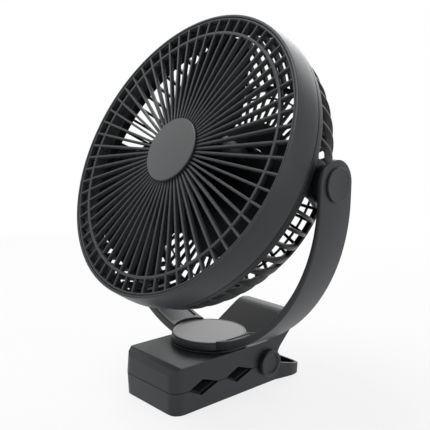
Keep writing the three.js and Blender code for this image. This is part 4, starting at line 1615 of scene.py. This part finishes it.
# ---------------------------------------------------------------- placing pieces
def settle(piece: bpy.types.Object, palette: Palette, slot: Slot, body: str, *nodes: str) -> bpy.types.Object:
    """Paints a piece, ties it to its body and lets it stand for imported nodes.

    Args:
        piece: the object, in the frame.
        palette: the finishes.
        slot: its finish.
        body: the body that it moves with.
        nodes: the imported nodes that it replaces.

    Returns:
        The piece.
    """
    piece.data.materials.clear()
    palette.paint(piece, slot)
    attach(piece, body)
    if nodes:
        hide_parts(*nodes)
    return piece


def paint_nodes(palette: Palette) -> None:
    """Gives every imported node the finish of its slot.

    Args:
        palette: the finishes.
    """
    for entry in frame["record"]["subparts"]:
        palette.paint(frame["nodes"][entry["node"]], Slot(entry["material_slot"]))


# ---------------------------------------------------------------- floor and surroundings
def add_floor() -> None:
    """Adds the pale floor, which looks nearly white beside the fan and keeps a faint shadow."""
    g = Graph("pale_floor")
    cloud = g.noise(g.place(), 3.0, 2.0)
    g.finish(Base_Color=g.blend(cloud, (0.93, 0.93, 0.93), (0.97, 0.97, 0.97)), Roughness=0.1 * cloud + 0.6)
    white = g.node("ShaderNodeEmission", inputs={"Color": WHITE, "Strength": 1.0})
    length = g.node("ShaderNodeVectorMath", {"operation": "LENGTH"}, {0: g.place()})
    far = (Value(g, length.outputs["Value"]) * (1.0 / SHADE_REACH)).at_most(1.0)
    share = (far**SHADE_CURVE).at_least(FLOOR_WHITENESS) * g.seen_directly()
    shown = g.mixed(share, g.shader.outputs["BSDF"], white.outputs["Emission"])
    g.feed(g.output.inputs["Surface"], shown)
    half = FLOOR_HALF_WIDTH
    corners = [(-half, -half), (half, -half), (half, half), (-half, half)]
    floor = prism("floor", corners, FLOOR_BOTTOM, FLOOR_TOP)
    floor.data.materials.append(g.material)


def add_world() -> None:
    """Adds white surroundings, which light the object only softly."""
    world = bpy.data.worlds.new("studio")
    bpy.context.scene.world = world
    world.use_nodes = True
    tree = Tree(world.node_tree)
    soft, white = (
        tree.node("ShaderNodeBackground", inputs={"Color": WHITE, "Strength": strength}).outputs["Background"]
        for strength in (ROOM_LIGHT, 1.0)
    )
    tree.node("ShaderNodeOutputWorld", inputs={"Surface": tree.mixed(tree.seen_directly(), soft, white)})


def main() -> None:
    """Builds the looks and logs how many faces each piece has."""
    logging.basicConfig(level=logging.INFO, format="%(name)s: %(message)s")
    add_camera(View())
    for box in SOFTBOXES:
        add_light(box)
    add_floor()
    add_world()
    scene = bpy.context.scene
    scene.view_settings.view_transform = "Standard"
    palette = Palette()
    paint_nodes(palette)
    ring = Ring()
    pieces = [*Head(palette, ring).build(), *Yoke(palette).build(), *Clip(palette).build()]
    for piece in pieces:
        log.info("%s: %d faces", piece.name, len(piece.data.polygons))


if __name__ == "__main__":
    main()
